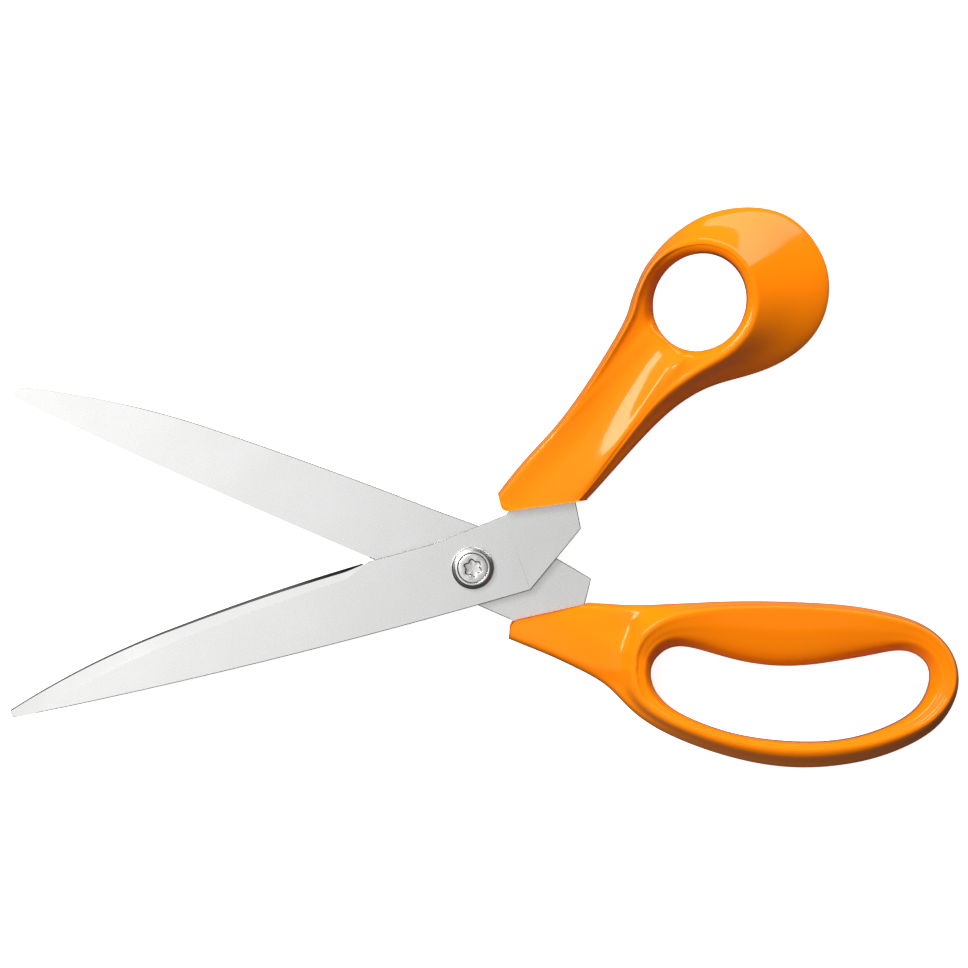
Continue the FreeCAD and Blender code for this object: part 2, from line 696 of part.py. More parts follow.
def finger_handle_form():
    count = len(FINGER_OUTLINE)
    rim, bar = sized("finger_rim_height"), sized("finger_bar_height")
    back, bar_back = sized("finger_back_depth"), sized("finger_bar_depth")
    shank, shank_back = sized("finger_shank_front"), sized("finger_shank_back")
    # share of the way from the opening to the outline at which the ridge runs
    crest = keyed(count, {0: 0.68, 1: 0.78, 2: 0.84, 3: 0.88, 5: 0.9, 8: 0.92, 9: 0.9,
                          10: 0.84, 11: 0.7, 12: 0.48, 13: 0.33, 14: 0.2, 15: 0.13, 16: 0.1,
                          17: 0.13, 18: 0.17, 19: 0.23, 20: 0.38, 21: 0.47, 22: 0.41, 24: 0.32,
                          27: 0.28, 28: 0.34, 29: 0.44, 30: 0.56})
    rims = keyed(count, {2: rim, 11: rim, 14: rim - 1.0, 19: rim - 1.0, 24: bar, 28: bar})
    edges = keyed(count, {0: -3.0, 3: -1.6, 9: -0.8, 13: -1.4, 20: -1.4, 24: -3.2})
    lips = keyed(count, {0: 2.6, 5: 4.6, 10: 4.6, 13: 4.0, 15: shank + 1.4,
                         18: shank + 1.4, 21: 3.4, 25: 2.4})
    downs = keyed(count, {0: 3.0, 5: 4.8, 10: 4.8, 13: 4.4, 15: 4.0, 18: 4.0, 21: 3.6, 25: 3.0})
    dishes = keyed(count, {0: 0.5, 4: 0.6, 11: 0.6, 13: 0.8, 20: 0.6, 24: 0.3})
    mouths = keyed(count, {0: 4.6, 3: 2.0, 5: 0.5, 11: 0.5, 13: 1.5, 16: 3.4, 20: 3.6, 23: 4.6,
                           28: 5.0})
    holds = keyed(count, {2: 0.56, 11: 0.56, 13: 0.12, 20: 0.12, 22: 0.56, 24: 0.74, 0: 0.74})
    feet = keyed(count, {11: 9.0, 13: 3.4, 20: 3.4, 22: 9.0})
    backs = keyed(count, {0: -bar_back, 4: -back, 11: -back, 14: -shank_back, 19: -shank_back,
                          23: -bar_back})
    sections = []
    for index in range(count):
        hole = V(*FINGER_OPENING[index], 0)
        outer = V(*FINGER_OUTLINE[index], 0)
        sections.append(handle_section(hole, side_point(hole, outer, crest[index], 0), outer, {
            "mouth": mouths[index], "round": 1.6, "step": 0.15, "rim": rims[index], "bead": 1.0,
            "dish": dishes[index], "bowl": lambda spot: spot.z, "bowled": 0.0,
            "foot": feet[index], "hold": holds[index], "flare": 0.4, "edge": edges[index],
            "lip_up": lips[index], "lip_down": downs[index],
            "back_out": backs[index], "back_in": backs[index] + 0.6}))
    return closed_solid(sections)


def slab_beyond(start, end, side):
    # everything to one side of a line through two points, far enough to clear a handle
    far = 60.0
    along = end.sub(start).normalize()
    across = V(-along.y, along.x, 0).multiply(side * far)
    low = start.sub(V(along).multiply(far))
    high = end.add(V(along).multiply(far))
    ring = [low, high, high.add(across), low.add(across), low]
    lifted = [V(p.x, p.y, -far) for p in ring]
    return Part.Face(Part.makePolygon(lifted)).extrude(V(0, 0, 2 * far))


def make_handle(half, form, heel_side, end_side, turn, blade):
    """A handle: its moulded form, ended square across the blade and moulded round the tang."""
    heel = V(sized(half + "_heel_x"), sized(half + "_heel_y"), 0)
    outer = V(sized(half + "_outer_x"), sized(half + "_outer_y"), 0)
    raw = doc.addObject("Part::Feature", half + "_form")
    raw.Shape = form
    ends = doc.addObject("Part::Feature", half + "_ends")
    ends.Shape = Part.makeCompound([
        slab_beyond(heel, outer, end_side),
        slab_beyond(heel, heel.add(heel_side), -end_side),
    ])
    trimmed = cut(half + "_trimmed", raw, ends)
    place(trimmed, turn)
    return cut(half + "_handle", trimmed, blade)


# ---------------------------------------------------------------- pivot hardware

COLLAR_SEAT = "(dims.glide_thickness + dims.blade_thickness)"
HEAD_SEAT = "(" + COLLAR_SEAT + " + dims.collar_floor)"
HEAD_TOP = "(" + HEAD_SEAT + " + dims.head_thickness)"
COLLAR_TOP = "(" + HEAD_TOP + " + dims.head_sink)"
NUT_SEAT = "(-dims.blade_thickness - dims.spring_thickness)"
NUT_FACE = "(" + NUT_SEAT + " - dims.nut_thickness)"


def revolved(label, corners):
    # a turned piece: corners are (radius, height) pairs round half its section
    body = new_body(label)
    sketch = new_sketch(body, label + "_section", "XZ_Plane")
    draw_outline(sketch, corners)
    feature = body.newObject("PartDesign::Revolution", label + "_turned")
    feature.Profile = sketch
    feature.ReferenceAxis = (sketch, ["V_Axis"])
    feature.Angle = 360
    return body


def ring(label, low, thickness, inner, outer):
    body = new_body(label)
    sketch = new_sketch(body, label + "_rings", "XY_Plane", low)
    draw_circle(sketch, "0", "0", inner)
    draw_circle(sketch, "0", "0", outer)
    pad(body, sketch, thickness)
    place(body, BACK_TURN)
    return body


def make_nut():
    bore = "dims.screw_radius + dims.thread_gap"
    body = revolved("pivot_nut", [
        ("0", NUT_FACE),
        ("dims.nut_radius - dims.nut_chamfer", NUT_FACE),
        ("dims.nut_radius", NUT_FACE + " + dims.nut_chamfer"),
        ("dims.nut_radius", NUT_SEAT),
        ("dims.neck_radius", NUT_SEAT),
        ("dims.neck_radius", "-dims.neck_relief"),
        ("dims.sleeve_radius", "-dims.neck_relief"),
        ("dims.sleeve_radius", COLLAR_SEAT + " - dims.sleeve_relief"),
        (bore, COLLAR_SEAT + " - dims.sleeve_relief"),
        (bore, NUT_FACE + " + dims.bore_floor"),
        ("0", NUT_FACE + " + dims.bore_floor"),
    ])
    flats = new_sketch(body, "key_flats", "XY_Plane", "-dims.neck_relief")
    far = "dims.neck_radius + 1"
    for side in ("", "-"):
        draw_outline(flats, [
            ("-(%s)" % far, side + "dims.key_flat"),
            (far, side + "dims.key_flat"),
            (far, "%s(%s)" % (side, far)),
            ("-(%s)" % far, "%s(%s)" % (side, far)),
        ])
    pocket(body, flats, "dims.blade_thickness + dims.spring_thickness - dims.neck_relief")
    place(body, BACK_TURN)
    return body


def make_collar():
    body = revolved("pivot_collar", [
        ("dims.screw_radius + dims.head_gap", COLLAR_SEAT),
        ("dims.collar_radius", COLLAR_SEAT),
        ("dims.collar_radius", COLLAR_SEAT + " + dims.collar_wall_height"),
        ("dims.collar_radius - dims.collar_shoulder", COLLAR_TOP),
        ("dims.head_radius + dims.head_gap", COLLAR_TOP),
        ("dims.head_radius + dims.head_gap", HEAD_SEAT),
        ("dims.screw_radius + dims.head_gap", HEAD_SEAT),
    ])
    place(body, BACK_TURN)
    return body


def make_screw():
    tip = HEAD_SEAT + " - dims.screw_length"
    body = revolved("pivot_screw", [
        ("0", tip),
        ("dims.screw_radius - dims.screw_point", tip),
        ("dims.screw_radius", tip + " + dims.screw_point"),
        ("dims.screw_radius", HEAD_SEAT),
        ("dims.head_radius", HEAD_SEAT),
        ("dims.head_radius", HEAD_TOP + " - dims.head_chamfer"),
        ("dims.head_radius - dims.head_chamfer", HEAD_TOP),
        ("0", HEAD_TOP),
    ])
    core = new_sketch(body, "drive_core", "XY_Plane", HEAD_TOP)
    draw_circle(core, "0", "0", "dims.drive_core_radius")
    pocket(body, core, "dims.drive_depth")
    lobe = new_sketch(body, "drive_lobe", "XY_Plane", HEAD_TOP)
    draw_circle(lobe, "dims.drive_radius - dims.drive_lobe_radius", "0", "dims.drive_lobe_radius")
    lobe_pocket = pocket(body, lobe, "dims.drive_depth")
    doc.recompute()
    pattern = body.newObject("PartDesign::PolarPattern", "drive_lobes")
    pattern.Originals = [lobe_pocket]
    pattern.Axis = (lobe, ["N_Axis"])
    pattern.Angle = 360
    pattern.Occurrences = 6
    body.Tip = pattern
    place(body, BACK_TURN)
    return body


# ---------------------------------------------------------------- the shears

front_blade = make_front_blade()
back_blade = make_back_blade()
PARTS = [
    front_blade,
    make_handle("thumb", thumb_handle_form(), V(0.3, 4, 0), -1, FRONT_TURN, front_blade),
    back_blade,
    make_handle("finger", finger_handle_form(), V(1.0, -3.5, 0), 1, BACK_TURN, back_blade),
    make_nut(),
    ring("spring_washer", NUT_SEAT, "dims.spring_thickness",
         "dims.neck_radius + dims.washer_gap",
         "dims.neck_radius + dims.washer_gap + dims.spring_width"),
    ring("glide_washer", "0", "dims.glide_thickness",
         "dims.neck_radius + dims.washer_gap",
         "dims.neck_radius + dims.washer_gap + dims.glide_width"),
    make_collar(),
    make_screw(),
]
doc.recompute()

for item in doc.Objects:
    if "Invalid" in item.State or "Error" in item.State:
        raise RuntimeError("%s failed: %s" % (item.Name, item.State))

os.makedirs("parts", exist_ok=True)
for item in PARTS:
    if item.Shape.isNull() or not item.Shape.isValid():
        raise RuntimeError(item.Label + " has no valid shape")
    item.Shape.exportStep("parts/%s.step" % item.Label)
    print("%-16s %9.1f mm3, %d solid" % (item.Label, item.Shape.Volume, len(item.Shape.Solids)))
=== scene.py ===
# %% [markdown]
# # Dressmaking shears with moulded handles
#
# The real thing is a pair of large fabric shears: two ground steel blades, each moulded into a
# bright orange plastic handle, turning on a nut and screw under a bright collar. The packed
# model already knows where everything is, so it is loaded first and never moved. The pieces that
# show most are then made again with finer shapes, and all get materials that show how they were
# finished, with painted shade on the blades' sheared sides and on the walls of the screw's recess.

# %% Load the imported model
import math

import bmesh
import bpy
import numpy as np
from mathutils import Matrix, Vector


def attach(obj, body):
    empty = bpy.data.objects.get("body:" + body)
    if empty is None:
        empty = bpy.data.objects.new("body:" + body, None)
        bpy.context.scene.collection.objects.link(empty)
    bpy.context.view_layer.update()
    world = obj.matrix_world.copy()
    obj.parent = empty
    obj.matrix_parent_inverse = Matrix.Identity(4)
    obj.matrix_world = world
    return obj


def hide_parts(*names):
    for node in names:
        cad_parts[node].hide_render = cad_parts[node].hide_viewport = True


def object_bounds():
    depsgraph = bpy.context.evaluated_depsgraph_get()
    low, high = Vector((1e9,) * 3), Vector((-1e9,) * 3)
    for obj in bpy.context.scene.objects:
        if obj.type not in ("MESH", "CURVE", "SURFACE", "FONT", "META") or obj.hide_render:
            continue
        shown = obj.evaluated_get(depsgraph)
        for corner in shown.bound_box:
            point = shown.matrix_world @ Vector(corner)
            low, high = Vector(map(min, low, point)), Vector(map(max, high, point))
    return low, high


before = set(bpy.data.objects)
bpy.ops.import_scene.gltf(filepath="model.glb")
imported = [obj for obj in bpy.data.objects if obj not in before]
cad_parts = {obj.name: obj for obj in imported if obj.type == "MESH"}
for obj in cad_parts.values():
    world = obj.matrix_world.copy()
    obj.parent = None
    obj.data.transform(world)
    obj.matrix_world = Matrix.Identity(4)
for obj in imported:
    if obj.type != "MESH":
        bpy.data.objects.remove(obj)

MM = 0.001
scene = bpy.context.scene
cad_box = [list(corner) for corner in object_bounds()]
print("packed nodes:", ", ".join(sorted(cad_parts)))
print("box of the model in mm:", [[round(value / MM, 1) for value in corner] for corner in cad_box])

# %% [markdown]
# ## Two halves, one pivot
#
# Shears are drawn most easily closed, with both blades along one line. So each half has a frame
# of its own: the pivot is at its origin, the blade points to -X, and z = 0 is the slip plane
# between the blades. A half is then swung open about the pivot and lifted by the height of the
# nut, the spring and one blade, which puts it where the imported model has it.

# %% From a half's own frame to the model's frame
SLIP_HEIGHT = 4.9
SWING = {"thumb": math.radians(17.5), "finger": math.radians(-20.5)}


def into_model(half):
    """The matrix from a half's own frame, in millimetres, to the model's frame, in metres."""
    lift = Matrix.Translation((0, 0, SLIP_HEIGHT))
    return Matrix.Scale(MM, 4) @ lift @ Matrix.Rotation(SWING[half], 4, "Z")


print("thumb half swung", round(math.degrees(SWING["thumb"]), 1), "degrees, finger half",
      round(math.degrees(SWING["finger"]), 1))

# %% [markdown]
# ## Camera
#
# The shears are seen from straight above, with hardly any perspective. A long lens a metre and a
# half away gives that, and one number, the width of the table that fills the picture, sets the
# distance.

# %% A long lens straight above
PICTURE_WIDTH, PICTURE_MIDDLE = 0.2638, (0.00305, 0.02289, 0.0065)
LENS, SENSOR = 200.0, 36.0

camera_data = bpy.data.cameras.new("camera")
camera_data.lens = LENS
camera_data.sensor_width = SENSOR
camera = bpy.data.objects.new("camera", camera_data)
camera.location = Vector(PICTURE_MIDDLE) + Vector((0, 0, PICTURE_WIDTH * LENS / SENSOR))
scene.collection.objects.link(camera)
scene.camera = camera
print("camera height", round(camera.location.z, 3), "m")

# %% [markdown]
# ## Light
#
# Gloss only shows when there is something bright with an edge to reflect. Two wide panels
# overhead, the left one brighter, keep the flat steel pale and let it darken towards the
# handles. A small strong key box draws the crisp reflections in the hollows of the plastic, a
# low wide box lights the bell's far side, and a broad panel behind fills the ground bevels. A
# dim surround leaves the sides that face the horizon darker, which gives the handles depth.

# %% Soft boxes and the surround


def soft_box(name, place, wide, high, brightness, target=(0.04, 0.03, 0.0)):
    """A rectangular light that faces the shears; brightness is the same at any size."""
    data = bpy.data.lights.new(name, "AREA")
    data.shape = "RECTANGLE"
    data.size, data.size_y = wide, high
    data.energy = brightness * math.pi * wide * high
    light = bpy.data.objects.new(name, data)
    light.location = place
    light.visible_camera = False
    light.rotation_euler = (Vector(target) - Vector(place)).to_track_quat("-Z", "Y").to_euler()
    scene.collection.objects.link(light)


soft_box("overhead_left", (-0.72, 0.0, 1.9), 1.4, 2.6, 1.12, (-0.72, 0.0, 0.0))
soft_box("overhead_right", (0.58, 0.0, 1.9), 1.2, 2.6, 0.42, (0.58, 0.0, 0.0))
soft_box("low_soft_box", (0.62, 1.1, 0.24), 1.25, 0.44, 8.0)
soft_box("left_panel", (-0.95, 1.9, 1.7), 2.3, 1.1, 1.05)
soft_box("key_soft_box", (-1.26, 1.06, 2.27), 1.3, 0.85, 24.0)

world = bpy.data.worlds.new("studio")
world.use_nodes = True
surround = world.node_tree.nodes["Background"]
surround.inputs["Color"].default_value = (0.05, 0.05, 0.051, 1)
surround.inputs["Strength"].default_value = 1.0
scene.world = world
scene.view_settings.view_transform = "Standard"

# %% [markdown]
# ## Helpers for building node trees
#
# Materials and Geometry Nodes are both trees of nodes. One helper adds a node, sets its options
# and either links or fills each input, so that a tree reads like a list of steps. Another starts
# a group with its named inputs and outputs. The rest are steps that come up again and again.

# %% Node helpers


def add_node(tree, kind, inputs=None, **options):
    """A new node: options are its settings, inputs are values or the sockets that feed it."""
    made = tree.nodes.new(kind)
    for key, value in options.items():
        setattr(made, key, value)
    for key, value in (inputs or {}).items():
        if isinstance(value, bpy.types.NodeSocket):
            tree.links.new(value, made.inputs[key])
        else:
            made.inputs[key].default_value = value
    return made


def new_group(name, kind, inputs, outputs):
    """A node group and its two ends; inputs are name: default, or name: kind of socket."""
    tree = bpy.data.node_groups.new(name, kind + "NodeTree")
    for label, value in inputs.items():
        socket_kind = value if isinstance(value, str) else type(value).__name__.capitalize()
        socket = tree.interface.new_socket(name=label, in_out="INPUT",
                                           socket_type="NodeSocket" + socket_kind)
        if value != socket_kind:
            socket.default_value = value
    for label, socket_kind in outputs.items():
        tree.interface.new_socket(name=label, in_out="OUTPUT",
                                  socket_type="NodeSocket" + socket_kind)
    return tree, tree.nodes.new("NodeGroupInput").outputs, tree.nodes.new("NodeGroupOutput").inputs


def math_node(tree, operation, first, second=0.0):
    return add_node(tree, "ShaderNodeMath", {0: first, 1: second}, operation=operation).outputs[0]


def product(tree, first, *factors):
    for factor in factors:
        first = math_node(tree, "MULTIPLY", first, factor)
    return first


def vector_node(tree, operation, first, second=(0, 0, 0)):
    return add_node(tree, "ShaderNodeVectorMath", {0: first, 1: second}, operation=operation).outputs


def stretched(tree, value, low, high, to_low=0.0, to_high=1.0):
    """A value from low to high made one from to_low to to_high."""
    return add_node(tree, "ShaderNodeMapRange", {"Value": value, "From Min": low, "From Max": high,
                                                 "To Min": to_low, "To Max": to_high}).outputs["Result"]


def object_place(tree):
    return add_node(tree, "ShaderNodeTexCoord").outputs["Object"]


def noise(tree, place, scale, detail, output="Fac", **more):
    """A noise texture at a place; more are its other inputs."""
    return add_node(tree, "ShaderNodeTexNoise", {"Vector": place, "Scale": scale, "Detail": detail,
                                                 **more}).outputs[output]


print("helpers ready")

# %% [markdown]
# ## Effects that several finishes share
#
# Three things happen to more than one surface here, so each is a node group with named inputs.
# Grinding leaves fine parallel lines. A lathe leaves rings round the axis. And any handled
# surface carries faint smudges and hairline scratches, which change the gloss more than the
# colour.

# %% Grinding lines
PER_METRE = 1 / MM


def make_grinding_group():
    tree, given, result = new_group("grinding_lines", "Shader", {
        "Turn": 0.0, "Lines per mm": 6.0, "Length mm": 8.0}, {"Height": "Float"})
    turned = add_node(tree, "ShaderNodeVectorRotate", {
        "Vector": object_place(tree), "Angle": given["Turn"]}, rotation_type="Z_AXIS").outputs["Vector"]
    across = product(tree, given["Lines per mm"], PER_METRE)
    along = math_node(tree, "DIVIDE", PER_METRE, given["Length mm"])
    stretch = add_node(tree, "ShaderNodeCombineXYZ", {"X": across, "Y": along, "Z": along}).outputs[0]
    lined = vector_node(tree, "MULTIPLY", turned, stretch)[0]
    tree.links.new(noise(tree, lined, 1.0, 3.0, Roughness=0.65), result["Height"])
    return tree


grinding_lines = make_grinding_group()
print("group:", grinding_lines.name)

# %% Rings from the lathe


def make_turning_group():
    tree, given, result = new_group("turning_rings", "Shader", {"Rings per mm": 9.0}, {"Height": "Float"})
    place = object_place(tree)
    flat = vector_node(tree, "MULTIPLY", place, (1, 1, 0))[0]
    radius = vector_node(tree, "LENGTH", flat)["Value"]
    depth = add_node(tree, "ShaderNodeSeparateXYZ", {0: place}).outputs["Z"]
    scale = product(tree, given["Rings per mm"], PER_METRE)
    scaled = product(tree, math_node(tree, "ADD", radius, depth), scale)
    rings = add_node(tree, "ShaderNodeTexNoise", {"W": scaled, "Scale": 1.0, "Detail": 2.0},
                     noise_dimensions="1D").outputs["Fac"]
    tree.links.new(rings, result["Height"])
    return tree


turning_rings = make_turning_group()
print("group:", turning_rings.name)

# %% Handling marks


def make_handling_group():
    tree, given, result = new_group("handling_marks", "Shader", {
        "Smudge size mm": 14.0, "Scratch size mm": 5.0}, {"Smudges": "Float", "Scratches": "Float"})
    place = object_place(tree)
    smudge_scale = math_node(tree, "DIVIDE", PER_METRE, given["Smudge size mm"])
    smudges = noise(tree, place, smudge_scale, 4.0, Roughness=0.55, Distortion=0.4)
    scratch_scale = math_node(tree, "DIVIDE", PER_METRE, given["Scratch size mm"])
    bent = noise(tree, place, scratch_scale, 1.0, "Color")
    moved = add_node(tree, "ShaderNodeVectorMath", {0: bent, "Scale": 0.004},
                     operation="SCALE").outputs[0]
    cells = add_node(tree, "ShaderNodeTexVoronoi", {
        "Vector": vector_node(tree, "ADD", place, moved)[0], "Scale": scratch_scale},
        feature="DISTANCE_TO_EDGE").outputs["Distance"]
    thin, patchy = stretched(tree, cells, 0.0, 0.012, 1.0, 0.0), stretched(tree, smudges, 0.52, 0.62)
    tree.links.new(smudges, result["Smudges"])
    tree.links.new(product(tree, thin, patchy), result["Scratches"])
    return tree


handling_marks = make_handling_group()
print("group:", handling_marks.name)

# %% [markdown]
# ## Orange moulded plastic
#
# The handles come out of a polished mould: a deep, even orange with a wet-looking gloss. What
# keeps them from looking like paint is small: the colour drifts a little with the thickness of
# the wall, the surface has a very shallow ripple, and handling leaves smudges and hairlines that
# only show in the reflections. Its own shine is weak and a little warm, so only bright lights
# leave a clear reflection.

# %% Steps that every finish takes


def new_material(name):
    """A material, its tree and its main shader."""
    material = bpy.data.materials.new(name)
    material.use_nodes = True
    return material, material.node_tree, material.node_tree.nodes["Principled BSDF"]


def place_group(tree, group, values):
    """A node group in a material, with its inputs set."""
    return add_node(tree, "ShaderNodeGroup", values, node_tree=group).outputs


def set_colour(tree, shader, share, low, high):
    """The base colour runs from low to high as share goes from 0 to 1."""
    ramp = add_node(tree, "ShaderNodeValToRGB", {"Fac": share})
    for element, colour in zip(ramp.color_ramp.elements, (low, high)):
        element.color = (*colour, 1)
    tree.links.new(ramp.outputs["Color"], shader.inputs["Base Color"])


def set_bump(tree, shader, height, strength, depth):
    """Fine relief that is depth millimetres high where height is 1."""
    bump = add_node(tree, "ShaderNodeBump", {"Height": height, "Strength": strength,
                                             "Distance": depth * MM})
    tree.links.new(bump.outputs["Normal"], shader.inputs["Normal"])


print("finish helpers ready")

# %% Handle plastic
SHADE_LOW, SHADE_HIGH = (0.92, 0.206, 0.002), (0.95, 0.228, 0.003)


def make_handle_plastic():
    material, tree, shader = new_material("orange_plastic")
    marks = place_group(tree, handling_marks, {"Smudge size mm": 16.0, "Scratch size mm": 7.0})
    place = object_place(tree)
    drift = noise(tree, place, 28.0, 1.0)
    set_colour(tree, shader, stretched(tree, drift, 0.3, 0.7), SHADE_LOW, SHADE_HIGH)
    worn = math_node(tree, "ADD", stretched(tree, marks["Smudges"], 0.3, 0.7, 0.075, 0.12),
                     stretched(tree, marks["Scratches"], 0.0, 1.0, 0.0, 0.12))
    tree.links.new(worn, shader.inputs["Roughness"])
    scratched = stretched(tree, marks["Scratches"], 0.0, 1.0, 0.0, 0.6)
    ripple = noise(tree, place, 420.0, 2.0)
    set_bump(tree, shader, math_node(tree, "SUBTRACT", ripple, scratched), 0.05, 0.06)
    shader.inputs["Specular IOR Level"].default_value = 0.16
    shader.inputs["Specular Tint"].default_value = (1.0, 0.9, 0.72, 1)
    shader.inputs["IOR"].default_value = 1.5
    return material


handle_plastic = make_handle_plastic()
print("material:", handle_plastic.name)

# %% [markdown]
# ## Steel, five ways
#
# The blades' faces are ground across their length and then brushed, so the lines run from the
# back towards the cutting edge. The bevels are ground finer. The blank's sides, as the press
# sheared them, are rougher, and their dark grey colour is painted shade that draws dark lines
# along the blades' edges. The pivot's pieces are turned on a lathe, and the walls of the screw's
# recess get a dark colour that is painted shade. One function makes all of these: the colour,
# the kind of line, its depth and the roughness are what differ.

# %% Ground and turned steel


def make_steel(name, colour, roughness, line_group, line_values, depth, sheen=0.06):
    """depth is the lines' in millimetres; sheen is how far they vary the roughness."""
    material, tree, shader = new_material(name)
    height = place_group(tree, line_group, line_values)["Height"]
    smudges = place_group(tree, handling_marks, {"Smudge size mm": 22.0,
                                                 "Scratch size mm": 9.0})["Smudges"]
    set_colour(tree, shader, stretched(tree, smudges, 0.3, 0.7), [0.97 * part for part in colour], colour)
    spread = stretched(tree, height, 0.3, 0.7, roughness - sheen, roughness + sheen)
    rubbed = math_node(tree, "ADD", spread, stretched(tree, smudges, 0.4, 0.7, 0.0, sheen))
    tree.links.new(rubbed, shader.inputs["Roughness"])
    set_bump(tree, shader, height, 0.35, depth)
    shader.inputs["Metallic"].default_value = 1.0
    return material


# name, colour, roughness, lines per mm, their length, their depth, sheen
BLADE_STEELS = [
    ("face", (0.73, 0.73, 0.725), 0.27, 5.0, 7.0, 0.0008, 0.01),
    ("bevel", (0.75, 0.75, 0.745), 0.09, 6.0, 4.0, 0.0006, 0.015),
    # the sheared sides' dark grey colour is painted shade that draws dark lines along the blades' edges
    ("sheared_painted_shade", (0.18, 0.18, 0.184), 0.42, 3.0, 2.0, 0.006, 0.04)]
FACE, BEVEL, SHEARED_PAINTED_SHADE = range(3)
blade_finishes = {half: [
    make_steel(half + "_" + kind + "_steel", colour, roughness, grinding_lines,
               {"Turn": -swing, "Lines per mm": lines, "Length mm": length}, depth, sheen)
    for kind, colour, roughness, lines, length, depth, sheen in BLADE_STEELS]
    for half, swing in SWING.items()}
turned_steel = make_steel("turned_steel", (0.68, 0.675, 0.66), 0.24, turning_rings,
                          {"Rings per mm": 7.0}, 0.008)
# The recess walls' dark colour is painted shade: the shade that falls inside the recess.
recess_painted_shade_steel = make_steel("recess_painted_shade_steel", (0.2, 0.2, 0.198), 0.36, turning_rings,
                          {"Rings per mm": 4.0}, 0.006)
print("materials:", [m.name for m in bpy.data.materials])

# %% [markdown]
# ## The glide washer's plastic
#
# Between the blades sits a thin slippery washer. Only its rim could ever be seen, dark and matt,
# with the faint rings that moulding and running leave.

# %% Glide plastic


def make_glide_plastic():
    material, tree, shader = new_material("dark_glide_plastic")
    rings = place_group(tree, turning_rings, {"Rings per mm": 4.0})["Height"]
    set_colour(tree, shader, rings, (0.035, 0.035, 0.038), (0.055, 0.055, 0.058))
    tree.links.new(stretched(tree, rings, 0.3, 0.7, 0.42, 0.55), shader.inputs["Roughness"])
    set_bump(tree, shader, rings, 0.2, 0.01)
    return material


glide_plastic = make_glide_plastic()
print("material:", glide_plastic.name)

# %% [markdown]
# ## Cutting a mesh along a line that isn't straight
#
# The blades' bevels, the pivot hole and the handles' ends all need a mesh cut along a curve. So
# one helper cuts a mesh where a function of position reaches a chosen value: it splits every
# edge that crosses the value, then every face between two new points. A few small ones finish
# a mesh and hand it over to its body.

# %% Cut by a function of position


def cut_where(mesh, field, level):
    """Cuts a bmesh along the line on which field(point) equals level."""
    height = {}
    for vertex in mesh.verts:
        value = field(vertex.co) - level
        height[vertex] = value if abs(value) > 1e-9 else 1e-9
    fresh = set()
    for edge in list(mesh.edges):
        low, high = edge.verts
        if (height[low] < 0) != (height[high] < 0):
            share = height[low] / (height[low] - height[high])
            fresh.add(bmesh.utils.edge_split(edge, low, share)[1])
    for face in list(mesh.faces):
        ends = [vertex for vertex in face.verts if vertex in fresh]
        if len(ends) == 2:
            bmesh.utils.face_split(face, ends[0], ends[1])
    return fresh


def crease_edges(mesh, degrees):
    """Smooth faces, with every edge that turns by more than this left sharp."""
    for face in mesh.faces:
        face.smooth = True
    for edge in mesh.edges:
        edge.smooth = edge.is_manifold and edge.calc_face_angle(0.0) < math.radians(degrees)


def finished_piece(name, mesh, matrix, materials, body, slot, *nodes):
    """A bmesh made an object at the origin, riding on its body in place of its CAD nodes."""
    mesh.transform(matrix)
    bmesh.ops.recalc_face_normals(mesh, faces=mesh.faces[:])
    data = bpy.data.meshes.new(name)
    mesh.to_mesh(data)
    mesh.free()
    for material in materials:
        data.materials.append(material)
    piece = bpy.data.objects.new(name, data)
    scene.collection.objects.link(piece)
    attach(piece, body)
    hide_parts(*nodes)
    size = [round(side / MM, 1) for side in piece.dimensions]
    print(name, "-", len(data.polygons), "faces,", size, "mm")


print("mesh helpers ready")

# %% [markdown]
# ## The handles' form
#
# A handle is one flowing surface: a ring round the opening that runs out into a shank. A good way
# to describe such a form is a chain of sections all round the opening. Each section starts at
# the opening's edge, climbs to a rounded rim, falls to the outer edge and returns underneath. A
# few heights, given at some stations and blended smoothly between them, then control all of it.

# %% Values that run smoothly round a handle


def keyed(count, values):
    """A smooth run of values round a closed chain of stations, given at a few of them."""
    stations = sorted(values)
    run = []
    for index in range(count):
        before = max([s for s in stations if s <= index], default=stations[-1])
        after = min([s for s in stations if s > index], default=stations[0])
        share = ((index - before) % count) / ((after - before) % count or count)
        blend = share * share * (3 - 2 * share)
        run.append(values[before] + (values[after] - values[before]) * blend)
    return run


